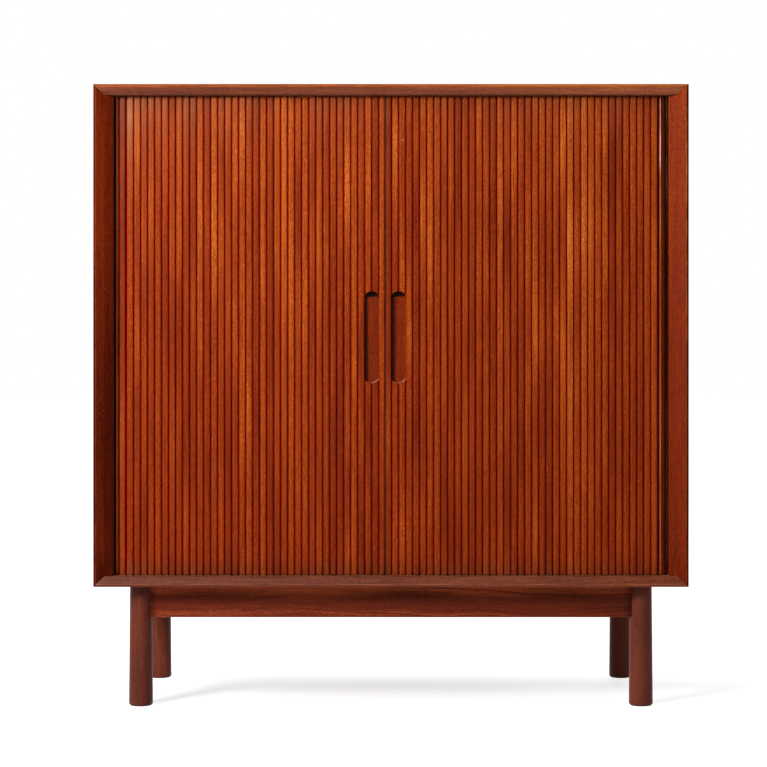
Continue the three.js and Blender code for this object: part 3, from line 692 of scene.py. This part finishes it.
def shade_turned(v, layers, sign, heading, along, on_face):
    """The slats in the bend: painted shade in their grooves and on the turned slats, and a painted highlight
    on the near flank of the one beside the post.
    """
    flank = FLANKS[sign]
    if heading > TURNED and on_face and along < FLANK_WIDTH - SLAT_FACE / 2:
        for name in ("dust_and_sheen", "wear_and_highlight", "tone"):
            v[layers[name]] = by_height(flank[name], v.co.z)
    elif heading > TURNED:
        v[layers["grime_and_shade"]] = flank["darkening"] if on_face else TURNED_SHADE
        v[layers["dust_and_sheen"]] = 0.0
    elif heading > TURNING and not on_face:
        v[layers["grime_and_shade"]] = TURNING_SHADE


# Curtains

BOW, SWAY, LIFT, TILT = 0.00018, 0.00012, 0.00012, 0.006
# How much of the pale haze, painted sheen and dust, each slat takes.
HAZE_RANGE = (0.2, 1.7)
SLAT_SPOTS = ((-0.06, 0.06), (0.01, 0.07), (-5, 5))  # where in the tree a slat's grain may be from
# Two slats at the end of the left door differ: a pale one with more haze, a painted highlight, and one that
# is dull near its head, the left post's painted shadow.
PALE_SLAT, PALE_RISE, PALE_HAZE = 36, 0.12, 4.2
DULL_SLAT, DULL_DROP, DULL_SHARE = 37, 0.3, 0.6
# The tongues, hidden in the tracks, are darker.
TONGUE_DROP, TONGUE_DARKENING = 0.1, 0.3


def slat_mesh(bm, layers, index, place, sign, seed):
    """One loose slat with its tongues, bowed and tilted a little as wood is."""
    pale, dull = sign < 0 and index == PALE_SLAT, sign < 0 and index == DULL_SLAT
    dice = random.Random(seed)
    bow, sway = dice.uniform(-BOW, BOW), dice.uniform(-SWAY, SWAY)
    tilt = dice.gauss(0, TILT)
    lift = dice.uniform(-LIFT, LIFT)
    hazy = PALE_HAZE if pale else dice.uniform(*HAZE_RANGE)
    spot = [dice.uniform(*ends) for ends in SLAT_SPOTS]
    tone = slat_tone(seed)

    def corner(along, out, z, shift=0.0, raised=0.0):
        x, y = on_canvas(place, along + shift, out + raised)
        v = bm.verts.new((sign * x, y, z))
        v[layers["grain"]] = (along + spot[0], out + spot[1], z + spot[2])
        return v

    profile = [(-BASE_HALF, 0.0), (-BASE_HALF, SLAT_BASE)] + ridge(-SLAT_FACE / 2)
    profile += [(BASE_HALF, SLAT_BASE), (BASE_HALF, 0.0)]
    rows = []
    for z in SLAT_LEVELS:
        share = height_share(z)
        shift = bow * math.sin(math.pi * share) + sway * (share - 0.5)
        odd = PALE_RISE * share ** 3 if pale else 0.0
        odd -= DULL_DROP * beyond(share, DULL_SHARE, 1.0) if dull else 0.0
        rows.append([])
        for along, out in profile:
            on_face = out > SLAT_BASE
            v = corner(along, out, z, shift, lift + tilt * along) if on_face else corner(along, out, z)
            v[layers["tone"]] = tone(z) + odd + broad_tone(v.co.x, z)
            v[layers["grime_and_shade"]] = slat_grime_and_shade(v.co.x, z, seed)
            v[layers["dust_and_sheen"]] = hazy * slat_dust_and_sheen(v.co.x, z)
            shade_turned(v, layers, sign, place[2], along, on_face)
            rows[-1].append(v)
    count = len(profile)
    skin(bm, rows, grooves=(0, 1, count - 3, count - 2, count - 1))

    reach = SLAT_FACE / 2 - TONGUE_SIDE
    for heights in TONGUE_LEVELS:
        ends = [[corner(along, out, z) for along, out in tongue(-reach, reach)] for z in heights]
        for v in ends[0] + ends[1]:
            v[layers["tone"]] = tone(v.co.z) - TONGUE_DROP
            v[layers["grime_and_shade"]] = TONGUE_DARKENING
        skin(bm, ends)


def slat_set(name, indices, lead, sign, seed):
    """Some slats of a curtain in one piece."""
    bm = bmesh.new()
    layers = {"grain": bm.verts.layers.float_vector.new("grain")}
    for layer in ("tone", "grime_and_shade", "dust_and_sheen", "wear_and_highlight"):
        layers[layer] = bm.verts.layers.float.new(layer)
    for i in indices:
        place = canvas_point(lead, i * SLAT_PITCH + SLAT_FACE / 2)
        slat_mesh(bm, layers, i, place, sign, seed + i)
    obj = from_bmesh(name, bm)
    smooth(obj, SLAT_DEGREES)
    dress(obj, "teak_slats", slat_wood, groove_bounce_wood)
    return obj


def canvas_strip(name, lead, sign, start, end, step):
    """The canvas behind the slats, between two lengths from the lead edge."""
    lengths = [start]
    while lengths[-1] + step < end:
        lengths.append(lengths[-1] + step)
    lengths.append(end)
    bm = bmesh.new()
    rows = []
    for length in lengths:
        place = canvas_point(lead, length)
        back, front = [on_canvas(place, 0.0, out) for out in (-CANVAS_THICK, -SEAT_GAP / 4)]
        rows.append([bm.verts.new((sign * x, y, z)) for (x, y), z in (
            (back, DOOR_LOW), (back, DOOR_HIGH), (front, DOOR_HIGH), (front, DOOR_LOW))])
    skin(bm, rows)
    obj = from_bmesh(name, bm)
    lay_grain(obj, "Z", seed=5)
    dress(obj, "teak_slats", cloth)
    return obj


# Lead stiles with their pulls

PULL_OVERRUN = 0.004
ARC_STEPS = 14
# Where painted values may change in a pull: from its middle, below its top and above its foot
SLICES_X = [0.0013 * step for step in range(-11, 12)]
SLICES_TOP = [0.0012 * step for step in range(1, 13)] + [0.019, 0.026]
SLICES_FOOT = (0.001, 0.002, 0.003, 0.0045, 0.0065, 0.009, 0.012)
NEAR, SAME = 1e-4, 1e-5
MEETING_DROP = 0.12  # on the left door's first slat
PULL_TONE, PULL_CONTRAST = 0.3, 0.3
# Painted shadow in the pulls, along the left wall and under the arch, over a little painted shade on the
# pull's floor; darker along the edges where the doors meet.
WALL_SHADOW_WIDTH = 0.0095
ARCH_SHADOW_SPAN = (0.0118, 0.0092)  # where the painted shadow starts and is full, below the top
RIM_WIDTH = 0.0024
SEAM_WIDTHS = {-1: 0.0022, 1: 0.0009}
PULL_SHADE, ARCH_SHADOW_STRENGTH, SEAM_DARKENING = 0.15, 1.7, 1.6
MOST_PULL_SHADE, MOST_SEAM_DARKENING = 1.8, 1.6


def pull_cutter(centre_x):
    """A pull's outline, with a low arch at both ends, from before the face to the pull's floor."""
    swing = math.asin(PULL_HALF / PULL_RADIUS)
    reach = PULL_LENGTH / 2 - PULL_RADIUS
    outline = arc(centre_x, PULL_MIDDLE_Z + reach, PULL_RADIUS, HALF_PI + swing, HALF_PI - swing, ARC_STEPS)
    outline += arc(centre_x, PULL_MIDDLE_Z - reach, PULL_RADIUS, swing - HALF_PI, -HALF_PI - swing, ARC_STEPS)
    bm = bmesh.new()
    skin(bm, [[bm.verts.new((x, y, z)) for x, z in outline] for y in (FACE_Y - PULL_OVERRUN, PULL_FLOOR_Y)])
    return from_bmesh("cutter", bm)


def stile_blank(name, lead, sign):
    """A lead stile with its tongues, before the pull is cut."""
    back = SLAT_THICK - STILE_THICK
    ridges = [point for i in range(STILE_SLATS) for point in ridge(i * SLAT_PITCH)]
    outline = [(0.0, back), (0.0, SLAT_BASE)] + ridges[1:-1]
    outline += [(STILE_WIDTH, SLAT_BASE), (STILE_WIDTH + LIP, SLAT_BASE), (STILE_WIDTH + LIP, SEAT_GAP)]
    outline += [(STILE_WIDTH - CANVAS_LAP, SEAT_GAP), (STILE_WIDTH - CANVAS_LAP, back)]
    narrow = tongue(TONGUE_SIDE, STILE_WIDTH - TONGUE_SIDE)
    bm = bmesh.new()
    for shape, heights in ((outline, SLAT_LEVELS), (narrow, TONGUE_LEVELS[0]), (narrow, TONGUE_LEVELS[1])):
        points = [on_canvas((lead, CANVAS_Y, 0.0), along, out) for along, out in shape]
        skin(bm, [[bm.verts.new((sign * x, y, z)) for x, y in points] for z in heights])
    return from_bmesh(name, bm)


def lead_stile(side, lead, sign, seed):
    """The rigid front of a door, with its finger pull."""
    obj = stile_blank(f"{side}_stile", lead, sign)
    pull_x = sign * (lead + (PULL_START + PULL_END) / 2)
    carve(obj, pull_cutter(pull_x))
    sliced(obj, 0, [pull_x + step for step in SLICES_X])
    sliced(obj, 2, [PULL_TOP - step for step in SLICES_TOP] + [PULL_FOOT + step for step in SLICES_FOOT])
    tones = [slat_tone(seed + i) for i in range(STILE_SLATS)]

    def in_pull(co):
        return (abs(co.x - pull_x) < PULL_HALF + NEAR and PULL_FOOT - NEAR < co.z < PULL_TOP + NEAR
                and GROOVE_Y + 2 * NEAR < co.y < PULL_FLOOR_Y + NEAR)

    def tone(co):
        index = min(STILE_SLATS - 1, max(0, int((sign * co.x - lead) / SLAT_PITCH)))
        drop = MEETING_DROP if index == 0 and sign < 0 else 0.0
        shade = tones[index](co.z) + broad_tone(co.x, co.z) - drop
        return PULL_TONE + PULL_CONTRAST * (shade - 0.5) if in_pull(co) else shade

    def grime_and_shade(co):
        """Painted shadow along the pull's wall on the left and under its arch, and darker where the doors
        meet.
        """
        if in_pull(co):
            wall = near(co.x - pull_x + PULL_HALF, WALL_SHADOW_WIDTH)
            arch = min(1.0, beyond(co.z - PULL_TOP, -ARCH_SHADOW_SPAN[0], -ARCH_SHADOW_SPAN[1]))
            return min(MOST_PULL_SHADE, PULL_SHADE + wall + ARCH_SHADOW_STRENGTH * arch)
        seam = near(abs(co.x - sign * lead), SEAM_WIDTHS[sign])
        return min(MOST_SEAM_DARKENING, slat_grime_and_shade(co.x, co.z, seed) + SEAM_DARKENING * seam)

    def wear_and_highlight(co):
        """Painted highlight along the right half of the pull's foot, where its rim catches the light."""
        if not in_pull(co) or co.z >= PULL_FOOT + PULL_RISE:
            return 0.0
        gap = PULL_RADIUS - math.hypot(co.x - pull_x, min(0.0, co.z - PULL_FOOT - PULL_RADIUS))
        return near(abs(gap), RIM_WIDTH) * max(0.0, min(1.0, 0.5 + (co.x - pull_x) / PULL_HALF))

    lay_grain(obj, "Z", seed)
    paint(obj, "tone", tone)
    paint(obj, "grime_and_shade", grime_and_shade)
    paint(obj, "dust_and_sheen", lambda co: slat_dust_and_sheen(co.x, co.z))
    paint(obj, "wear_and_highlight", wear_and_highlight)
    dress(obj, "teak_slats", slat_wood, groove_bounce_wood, body=f"{side}_door")
    for face in obj.data.polygons:
        flat = all(abs(obj.data.vertices[i].co.y - GROOVE_Y) < SAME for i in face.vertices)
        face.material_index = int(flat and abs(face.normal.y) > FACING)
    smooth(obj, SLAT_DEGREES)
    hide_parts(f"{side}_lead_stile")


# Doors

CURTAIN_SEED = 50
FRONT_STEP, CORNER_STEP = 0.02, 0.004  # of the canvas


def door(side, lead, sign, seed):
    """A lead stile with its curtain: the slats on the front and in the bend, and the canvas behind them."""
    lead_stile(side, lead, sign, seed)
    count = int((BEND_X - lead + TAIL) / SLAT_PITCH)
    straight = [i for i in range(STILE_SLATS, count)
                if i * SLAT_PITCH + SLAT_FACE / 2 + BASE_HALF < BEND_X - lead]
    corner = range(straight[-1] + 1, count)
    front = slat_set(f"{side}_front_slats", straight, lead, sign, seed + CURTAIN_SEED)
    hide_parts(f"{side}_curtain")
    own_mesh(front)
    slat_set(f"{side}_corner_slats", corner[1:], lead, sign, seed + CURTAIN_SEED)

    # The slat at the start of the bend is a piece of its own.
    yielding = slat_set(f"{side}_bend_slat", corner[:1], lead, sign, seed + CURTAIN_SEED)
    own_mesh(yielding)

    lap, turn = STILE_WIDTH - CANVAS_LAP + SEAT_GAP, BEND_X - lead
    sheet = canvas_strip(f"{side}_front_canvas", lead, sign, lap, turn, FRONT_STEP)
    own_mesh(sheet)
    canvas_strip(f"{side}_corner_canvas", lead, sign, turn, count * SLAT_PITCH - GROOVE + LIP, CORNER_STEP)


door("left", lead=MEET_GAP / 2 - MEET, sign=-1, seed=1100)
door("right", lead=MEET_GAP / 2 + MEET, sign=1, seed=2300)

# Front edging and posts of the case

CASE_X = 0.58
INNER_X, INNER_LOW, INNER_HIGH = 0.5435, 0.2575, 1.1985
LIT_X, LIT_Y = 0.5, -0.19
EDGING_ROUND, POST_ROUND = 0.0009, 0.0014
EDGE_X = 0.5768
POST_MIDDLE_X, STEP_WIDTH = 0.56, 0.0005
SHORT_EDGE, LONG_EDGE = 0.02, 0.2  # shorter edges than these aren't rounded
EDGING_SLICES = [-0.56 + 0.08 * i for i in range(15)]
POST_SLICES = [0.3 + 0.06 * i for i in range(15)]
EDGING_MOTTLE, POST_MOTTLE, PALE_SPREAD = 0.16, 0.1, 0.9
INNER_SHADE = 0.9
# Post tones by height: painted light and shade, the left post darker than the right and both lighter towards
# the top.
POST_LIGHT_AND_SHADE = {"left": ((0.24, 0.21), (0.35, 0.22), (0.44, 0.18), (0.56, 0.14), (0.68, 0.2), (0.82, 0.32),
                       (0.92, 0.44), (1.06, 0.43), (1.2, 0.38)),
              "right": ((0.24, 0.28), (0.4, 0.34), (0.54, 0.42), (0.76, 0.45), (0.97, 0.56), (1.2, 0.62))}
# A painted highlight down the right post's front flat, strongest towards the top.
RIGHT_POST_HIGHLIGHT = ((0.24, 0.1), (0.6, 0.15), (0.8, 0.4), (0.95, 1.1), (1.2, 1.3))


def arris(pale, along, spots, seed):
    """Paleness along an arris: a base level, more in places. It is wear, and on the front edgings a painted
    highlight too.
    """
    def value(co):
        wave = noise.noise(Vector((co[along] * spots + seed, seed * 1.7, 0.0)))
        return max(0.0, min(1.0, pale + PALE_SPREAD * wave))
    return value


def flat_front(face):
    return face.normal.y < -0.97


def inner_shade(face, co):
    """Painted shade on the flats behind the bevels, which look towards the doors, but not where the right
    post's flat is lit.
    """
    inside = abs(co.x) < INNER_X and INNER_LOW < co.z < INNER_HIGH
    lit = co.x > LIT_X and co.y < LIT_Y
    return INNER_SHADE if inside and abs(face.normal.y) < 0.5 and not lit else 0.0


def edging(node, seed, pale, base, front, rise):
    """A bevelled strip along the top or bottom: its base tone, the front's own and the rise to the right."""
    paleness = arris(pale, along=0, spots=9.0, seed=seed)
    strip = rounded(node, f"{node}_strip", EDGING_ROUND, SHORT_EDGE, 3, paleness)
    sliced(strip, 0, EDGING_SLICES)

    def tone(face, co):
        shade = base + rise * co.x / CASE_X + EDGING_MOTTLE * drift(co, (3, 30, 30), seed)
        return shade + front if flat_front(face) else shade

    lay_grain(strip, "X", seed)
    face_paint(strip, "tone", tone)
    face_paint(strip, "grime_and_shade", inner_shade)
    dress(strip, "teak_edging", edging_wood, strip_wood)
    return strip


def post(side, seed, step, darkening):
    """A bevelled upright: its drop in tone towards the doors, and painted shade on its outer arris."""
    node = f"{side}_front_post"
    paleness = arris(0.05, along=2, spots=8.0, seed=seed)
    upright = rounded(node, f"{node}_strip", POST_ROUND, SHORT_EDGE, 3, paleness)
    near_step = [POST_MIDDLE_X + STEP_WIDTH, POST_MIDDLE_X - STEP_WIDTH, EDGE_X]
    sliced(upright, 0, near_step + [-x for x in near_step])
    sliced(upright, 2, POST_SLICES)

    def tone(co):
        shade = by_height(POST_LIGHT_AND_SHADE[side], co.z) + POST_MOTTLE * drift(co, (40, 30, 4), seed)
        return shade - step if abs(co.x) < POST_MIDDLE_X else shade

    def grime_and_shade(face, co):
        outer = abs(face.center.x) > EDGE_X and face.normal.y < -0.3
        return max(inner_shade(face, co), darkening if outer else 0.0)

    lay_grain(upright, "Z", seed)
    paint(upright, "tone", tone)
    face_paint(upright, "grime_and_shade", grime_and_shade)
    if side == "right":
        face_paint(upright, "wear_and_highlight", lambda face, co: by_height(RIGHT_POST_HIGHLIGHT, co.z) if flat_front(face) else 0.0)
    dress(upright, "teak_posts", post_wood)


# Top edging: a painted highlight along its arris, and its front flat lighter and in the brighter teak:
# painted light. Bottom edging: a paler arris, wear and a painted highlight.
top_strip = edging("top_front_edging", seed=11, pale=0.2, base=0.36, front=0.2, rise=0.15)
for face in top_strip.data.polygons:
    face.material_index = int(flat_front(face))
edging("bottom_front_edging", seed=12, pale=0.4, base=0.15, front=-0.04, rise=0.1)
post("left", seed=21, step=0.14, darkening=0.9)
post("right", seed=22, step=0.05, darkening=1.5)

# Boards of the case and the interior

ROOF_Z, FLOOR_Z, INSIDE_X = 1.198, 0.258, 0.560
BOARD_HALF = 0.0095  # just under half a board, so that the mitres stay teak


def mottled(amount, spots, seed):
    """A tone that varies in patches, so many over a metre."""
    return lambda co: 0.5 + amount * drift(co, (spots, spots, spots), seed)


def board(node, name, slot_name, materials, axis, seed, width, wear_and_highlight, tone, depth):
    """A veneered board."""
    made = rounded(node, name, width, LONG_EDGE, 2, wear_and_highlight)
    lay_grain(made, axis, seed, depth)
    paint(made, "tone", tone)
    dress(made, slot_name, *materials)
    return made


def case_panel(node, axis, seed, inner):
    """Teak outside, with the interior veneer on the faces that the test picks."""
    panel = board(node, f"{node}_board", "teak_panels", (panel_wood, inner_wood), axis, seed, width=0.0006,
                  wear_and_highlight=0.25, tone=mottled(0.1, 3.0, seed), depth=0.045)
    for face in panel.data.polygons:
        face.material_index = int(inner(face))


case_panel("top_panel", "X", 31, inner=lambda face: face.center.z < ROOF_Z + BOARD_HALF
           and abs(face.center.x) < INSIDE_X)
case_panel("bottom_panel", "X", 32, inner=lambda face: face.center.z > FLOOR_Z - BOARD_HALF
           and abs(face.center.x) < INSIDE_X)
case_panel("left_side_panel", "Z", 33, inner=lambda face: face.normal.x > FACING)
case_panel("right_side_panel", "Z", 34, inner=lambda face: face.normal.x < -FACING)
board("back_panel", "back_board", "back_veneer", (back_wood,), "Z", 35, width=0.0006, wear_and_highlight=0.2,
      tone=mottled(0.12, 2.0, seed=5), depth=0.05)

for seed, (node, axis) in enumerate((
        ("left_liner", "Z"), ("right_liner", "Z"), ("false_back", "Z"), ("divider", "Z"),
        ("left_lower_shelf", "X"), ("left_upper_shelf", "X"), ("right_lower_shelf", "X"),
        ("right_upper_shelf", "X")), 41):
    board(node, f"{node}_board", "interior_veneer", (inner_wood,), axis, seed, width=0.0005, wear_and_highlight=0.3,
          tone=mottled(0.12, 3.0, seed), depth=0.04)

# Shelf pins

PIN_R, PIN_END_R, PIN_EASE, PIN_DOME = 0.003, 0.0012, 0.0008, 0.0002

for node in nodes:
    if node.endswith("_pin"):
        low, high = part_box(node)
        length = high.x - low.x
        axis = "X" if ("_outer_" in node) == node.startswith("left") else "-X"
        profile = [(0, 0), (PIN_R - PIN_EASE, 0), (PIN_R, PIN_EASE), (PIN_R, length - PIN_EASE),
                   (PIN_R - PIN_EASE, length - PIN_DOME), (PIN_END_R, length), (0, length)]
        start = low.x if axis == "X" else high.x
        pin = lathe(f"{node}_turned", profile, 24, (start, (low.y + high.y) / 2, (low.z + high.z) / 2), axis)
        dress(pin, "brass", brass)
        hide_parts(node)

# Legs, glides and corner blocks

LEG_X, LEG_Y = 0.493, 0.178
LEG_TOP_Z, LEG_FOOT_Z = 0.2378, 0.0022
LEG_TOP_R, LEG_FOOT_R, FOOT_ROUND = 0.0215, 0.0235, 0.0015
LEG_START, LEG_STEPS = LEG_FOOT_Z + FOOT_ROUND, 12
LEG_PROFILE = [(0, LEG_FOOT_Z)] + arc(LEG_FOOT_R - FOOT_ROUND, LEG_START, FOOT_ROUND, -HALF_PI, 0, 6)
LEG_PROFILE += [(between(LEG_FOOT_R, LEG_TOP_R, i / LEG_STEPS), between(LEG_START, LEG_TOP_Z, i / LEG_STEPS))
                for i in range(1, LEG_STEPS + 1)] + [(0, LEG_TOP_Z)]
LEG_TONES, LEG_MOTTLE = (0.33, 0.44, 0.38, 0.4), 0.18
LEG_SHADE = (0.213, 0.238)  # heights between which the leg gets darker under the case
# Legs: darker at the top under the case, painted shade, and darker just above the foot.
LEG_HEAD_SHADE, FOOT_DARK, FOOT_DARK_REACH = 0.08, 0.5, 0.002
GLIDE_R, GLIDE_Z, EASE = 0.021, 0.002, 0.0002
STEM_R, STEM_END_R, STEM_Z = 0.0025, 0.0018, 0.014
GLIDE_PROFILE = ((0, 0), (GLIDE_R - 3 * EASE, 0), (GLIDE_R - EASE, EASE), (GLIDE_R, 3 * EASE),
                 (GLIDE_R, GLIDE_Z - EASE), (GLIDE_R - 0.0003, GLIDE_Z), (STEM_R, GLIDE_Z),
                 (STEM_R, STEM_Z - 0.0005), (STEM_END_R, STEM_Z), (0, STEM_Z))
BLOCK_ROUND = 0.0008
SCREW_R, SHANK_R, HEAD_Z = 0.00425, 0.002, 0.003
SCREW_HEAD = ((0, 0), (SHANK_R, 0.0001), (SCREW_R - 0.0008, 0.0007), (SCREW_R, 0.0016), (SCREW_R, HEAD_Z),
              (SHANK_R, HEAD_Z))
THREAD_START, THREAD_PITCH, THREAD_DEPTH = 0.008, 0.0016, 0.0006
THREAD_END, POINT_LENGTH = 0.006, 0.004  # from the tip
CORNERS = {"front_left": (-1, -1), "front_right": (1, -1), "rear_left": (-1, 1), "rear_right": (1, 1)}


def round_leg(corner, place, tone, seed):
    leg = lathe(f"{corner}_round_leg", LEG_PROFILE, 72, place)
    lay_grain(leg, "Z", seed, depth=0.02)
    paint(leg, "tone", lambda co: tone + LEG_MOTTLE * drift(co, (24, 24, 9), seed))
    paint(leg, "grime_and_shade", lambda co: FOOT_DARK * near(co.z - LEG_FOOT_Z, FOOT_DARK_REACH)
          + LEG_HEAD_SHADE * beyond(co.z, *LEG_SHADE))
    dress(leg, "teak_base", leg_wood)
    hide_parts(f"{corner}_leg")


def glide(corner, place):
    """A nylon disc with a stem that goes up into the leg."""
    foot = lathe(f"{corner}_turned_glide", GLIDE_PROFILE, 48, place)
    dress(foot, "nylon", plastic)
    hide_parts(f"{corner}_glide")


def corner_block(corner, seed):
    block = rounded(f"{corner}_corner_block", f"{corner}_block", BLOCK_ROUND, SHORT_EDGE, 2, wear_and_highlight=0.2)
    lay_grain(block, "X", seed)
    paint(block, "tone", 0.5)
    dress(block, "teak_base", base_wood)


def block_screw(corner):
    """A wood screw, head down in the block's counterbore."""
    low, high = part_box(f"{corner}_block_screw")
    place = ((low.x + high.x) / 2, (low.y + high.y) / 2, low.z)
    length = high.z - low.z
    profile = list(SCREW_HEAD)
    z = THREAD_START
    while z < length - THREAD_END:
        profile += [(SHANK_R, z), (SHANK_R - THREAD_DEPTH, z + THREAD_PITCH / 2)]
        z += THREAD_PITCH
    profile += [(SHANK_R, length - POINT_LENGTH), (0, length)]
    screw = lathe(f"{corner}_wood_screw", profile, 28, place)
    cut_slot(screw, Matrix.Translation(place), length=0.012, width=0.001, low=-0.001, high=0.0013)
    dress(screw, "steel", steel)
    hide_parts(f"{corner}_block_screw")


for index, (corner, (side_x, side_y)) in enumerate(CORNERS.items()):
    foot_place = (side_x * LEG_X, side_y * LEG_Y, 0)
    round_leg(corner, foot_place, LEG_TONES[index], seed=50 + index)
    glide(corner, foot_place)
    corner_block(corner, seed=60 + index)
    block_screw(corner)

# Rails of the base

# Rail tones by height: painted light at the top, where the case shades the rail, and painted shade along the
# middle.
RAIL_LIGHT_AND_SHADE = ((0.178, 0.6), (0.181, 0.58), (0.186, 0.5), (0.194, 0.43), (0.2016, 0.41), (0.2095, 0.41),
              (0.2173, 0.64), (0.225, 0.84), (0.238, 1.1))
RAIL_END = 0.4725
END_SHADE = 0.014
RAIL_SLICES = [0.045 * i for i in range(-10, 11)]
RAIL_ROUND = 0.0012
RAIL_WAVE, RAIL_MOTTLE, END_SHADE_DROP, RIGHT_DARK = 0.012, 0.06, 0.3, 0.1


def rail(node, axis, seed):
    """A rail of the base: painted shade along its middle in a wavering band like figure, and on the long ones
    a painted shadow at each end beside a leg.
    """
    bar = rounded(node, f"{node}_bar", RAIL_ROUND, LONG_EDGE, 3, wear_and_highlight=0.45)
    along = "XY".index(axis)
    clear = RAIL_END - END_SHADE
    sliced(bar, 2, [z for z, _ in RAIL_LIGHT_AND_SHADE[1:-1]])
    sliced(bar, along, [-clear, clear] + RAIL_SLICES)

    def tone(co):
        rise = RAIL_WAVE * drift(co, (5, 0, 0), seed)
        end = near(RAIL_END - abs(co.x), END_SHADE) if axis == "X" else 0.0
        return (by_height(RAIL_LIGHT_AND_SHADE, co.z + rise) + RAIL_MOTTLE * drift(co, (6, 6, 20), seed)
                - END_SHADE_DROP * end - RIGHT_DARK * beyond(co.x, 0.0, RAIL_END))

    lay_grain(bar, axis, seed, depth=0.025)
    paint(bar, "tone", tone)
    dress(bar, "teak_base", base_wood)


rail("front_rail", "X", 71)
rail("rear_rail", "X", 72)
rail("left_rail", "Y", 73)
rail("right_rail", "Y", 74)

# Screws of the back panel

BACK_Y = 0.23
BACK_SCREW = ((0, -0.0035), (0.0016, -0.0035), (0.0036, -0.0004), (0.0036, 0), (0.0026, 0.0004), (0, 0.0005))
SLOT_TURN = 0.7  # from each screw to the next
ROW_X, ROW_Z = (-0.5, -0.3, -0.1, 0.1, 0.3, 0.5), (0.2545, 1.2015)
COLUMN_X, COLUMN_Z = (-0.5625, 0.5625), (0.4, 0.6, 0.8, 1.0)

places = [(x, z) for z in ROW_Z for x in ROW_X] + [(x, z) for x in COLUMN_X for z in COLUMN_Z]
for index, (x, z) in enumerate(places):
    head = lathe(f"back_screw_{index:02d}", BACK_SCREW, 28, (x, BACK_Y, z), "Y")
    turn = Matrix.Translation((x, BACK_Y, z)) @ Matrix.Rotation(SLOT_TURN * index, 4, "Y") @ TURNS["Y"]
    cut_slot(head, turn, length=0.01, width=0.0008, low=-0.0007, high=0.002)
    dress(head, "steel", steel)

# Floor: to the camera it gets paler away from the cabinet and dimmer near it, a painted shade round it, and
# the cabinet gets an even grey light from it

NEAR_FLOOR, FAR_FLOOR = 0.04, 0.26
FLOOR_REACH = 30.0

floor = Tree(bpy.data.materials.new("floor"))
rays = floor.node("LightPath").outputs
direct = rays["Is Camera Ray"]
for ray in ("Is Glossy Ray", "Is Transmission Ray"):
    direct = floor.math("MAXIMUM", direct, rays[ray])
pool = floor.length(floor.vector("MULTIPLY", floor.place("Object"), (0.22, 1.0, 0.0)))
plain = floor.node("BsdfDiffuse", {"Color": (0.45, 0.45, 0.45, 1.0)})
pale = floor.node("BsdfDiffuse", {"Color": (0.5, 0.5, 0.5, 1.0)})
# Dimmer near the cabinet: painted shade on the floor round it.
glow_with_painted_shade = floor.span(pool, NEAR_FLOOR, FAR_FLOOR, 0.56, 0.97)
glow = floor.node("Emission", {"Color": (1.0, 1.0, 1.0, 1.0), "Strength": glow_with_painted_shade})
seen = floor.node("AddShader", {0: pale.outputs[0], 1: glow.outputs[0]})
choice = floor.node("MixShader", {0: direct, 1: plain.outputs[0], 2: seen.outputs[0]})
floor.node("OutputMaterial", {"Surface": choice.outputs[0]})

ground_mesh = bpy.data.meshes.new("floor")
ends = (-FLOOR_REACH, FLOOR_REACH)
ground_mesh.from_pydata([(x, y, 0) for x in ends for y in ends], [], [(0, 2, 3, 1)])
ground_mesh.materials.append(floor.owner)
ground = add_object("floor", ground_mesh)
ground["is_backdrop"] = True

# World: the camera sees white, and reflections see a white studio with a dim room in front

WORLD_LEVEL = 0.15
ROOM_LEVEL = 0.1

scene.world = bpy.data.worlds.new("studio")
studio = Tree(scene.world)
rays = studio.node("LightPath").outputs
way = studio.node("SeparateXYZ", {0: studio.place("Generated")}).outputs["Y"]
mirrored = studio.math("MAXIMUM", rays["Is Glossy Ray"], rays["Is Transmission Ray"])
strength = studio.math("MULTIPLY", mirrored, studio.span(way, -0.85, -0.2, ROOM_LEVEL, 1.0))
strength = studio.math("MAXIMUM", strength, WORLD_LEVEL)
strength = studio.math("MAXIMUM", strength, rays["Is Camera Ray"])
sky = studio.node("Background", {"Color": (1.0, 1.0, 1.0, 1.0), "Strength": strength})
studio.node("OutputWorld", {"Surface": sky.outputs[0]})

scene.view_settings.view_transform = "Standard"

# Lamps

LAMP_TARGET = Vector((0, 0, 0.65))


def lamp(name, azimuth, elevation, distance, size, power):
    """A square lamp that looks at the middle of the cabinet. Azimuth 0 is in front, positive to the right."""
    side, rise = math.radians(azimuth), math.radians(elevation)
    outward = Vector((math.sin(side) * math.cos(rise), -math.cos(side) * math.cos(rise), math.sin(rise)))
    data = bpy.data.lights.new(name, "AREA")
    data.shape = "SQUARE"
    data.size = size
    data.energy = power
    obj = add_object(name, data)
    obj.location = LAMP_TARGET + outward * distance
    obj.rotation_mode = "QUATERNION"
    obj.rotation_quaternion = (-outward).to_track_quat("-Z", "Y")


lamp("key", azimuth=-40, elevation=24, distance=3.8, size=1.0, power=160)
lamp("fill", azimuth=20, elevation=10, distance=5.0, size=3.0, power=14)
lamp("rear", azimuth=165, elevation=28, distance=4.5, size=2.0, power=70)

# Size

low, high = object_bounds()
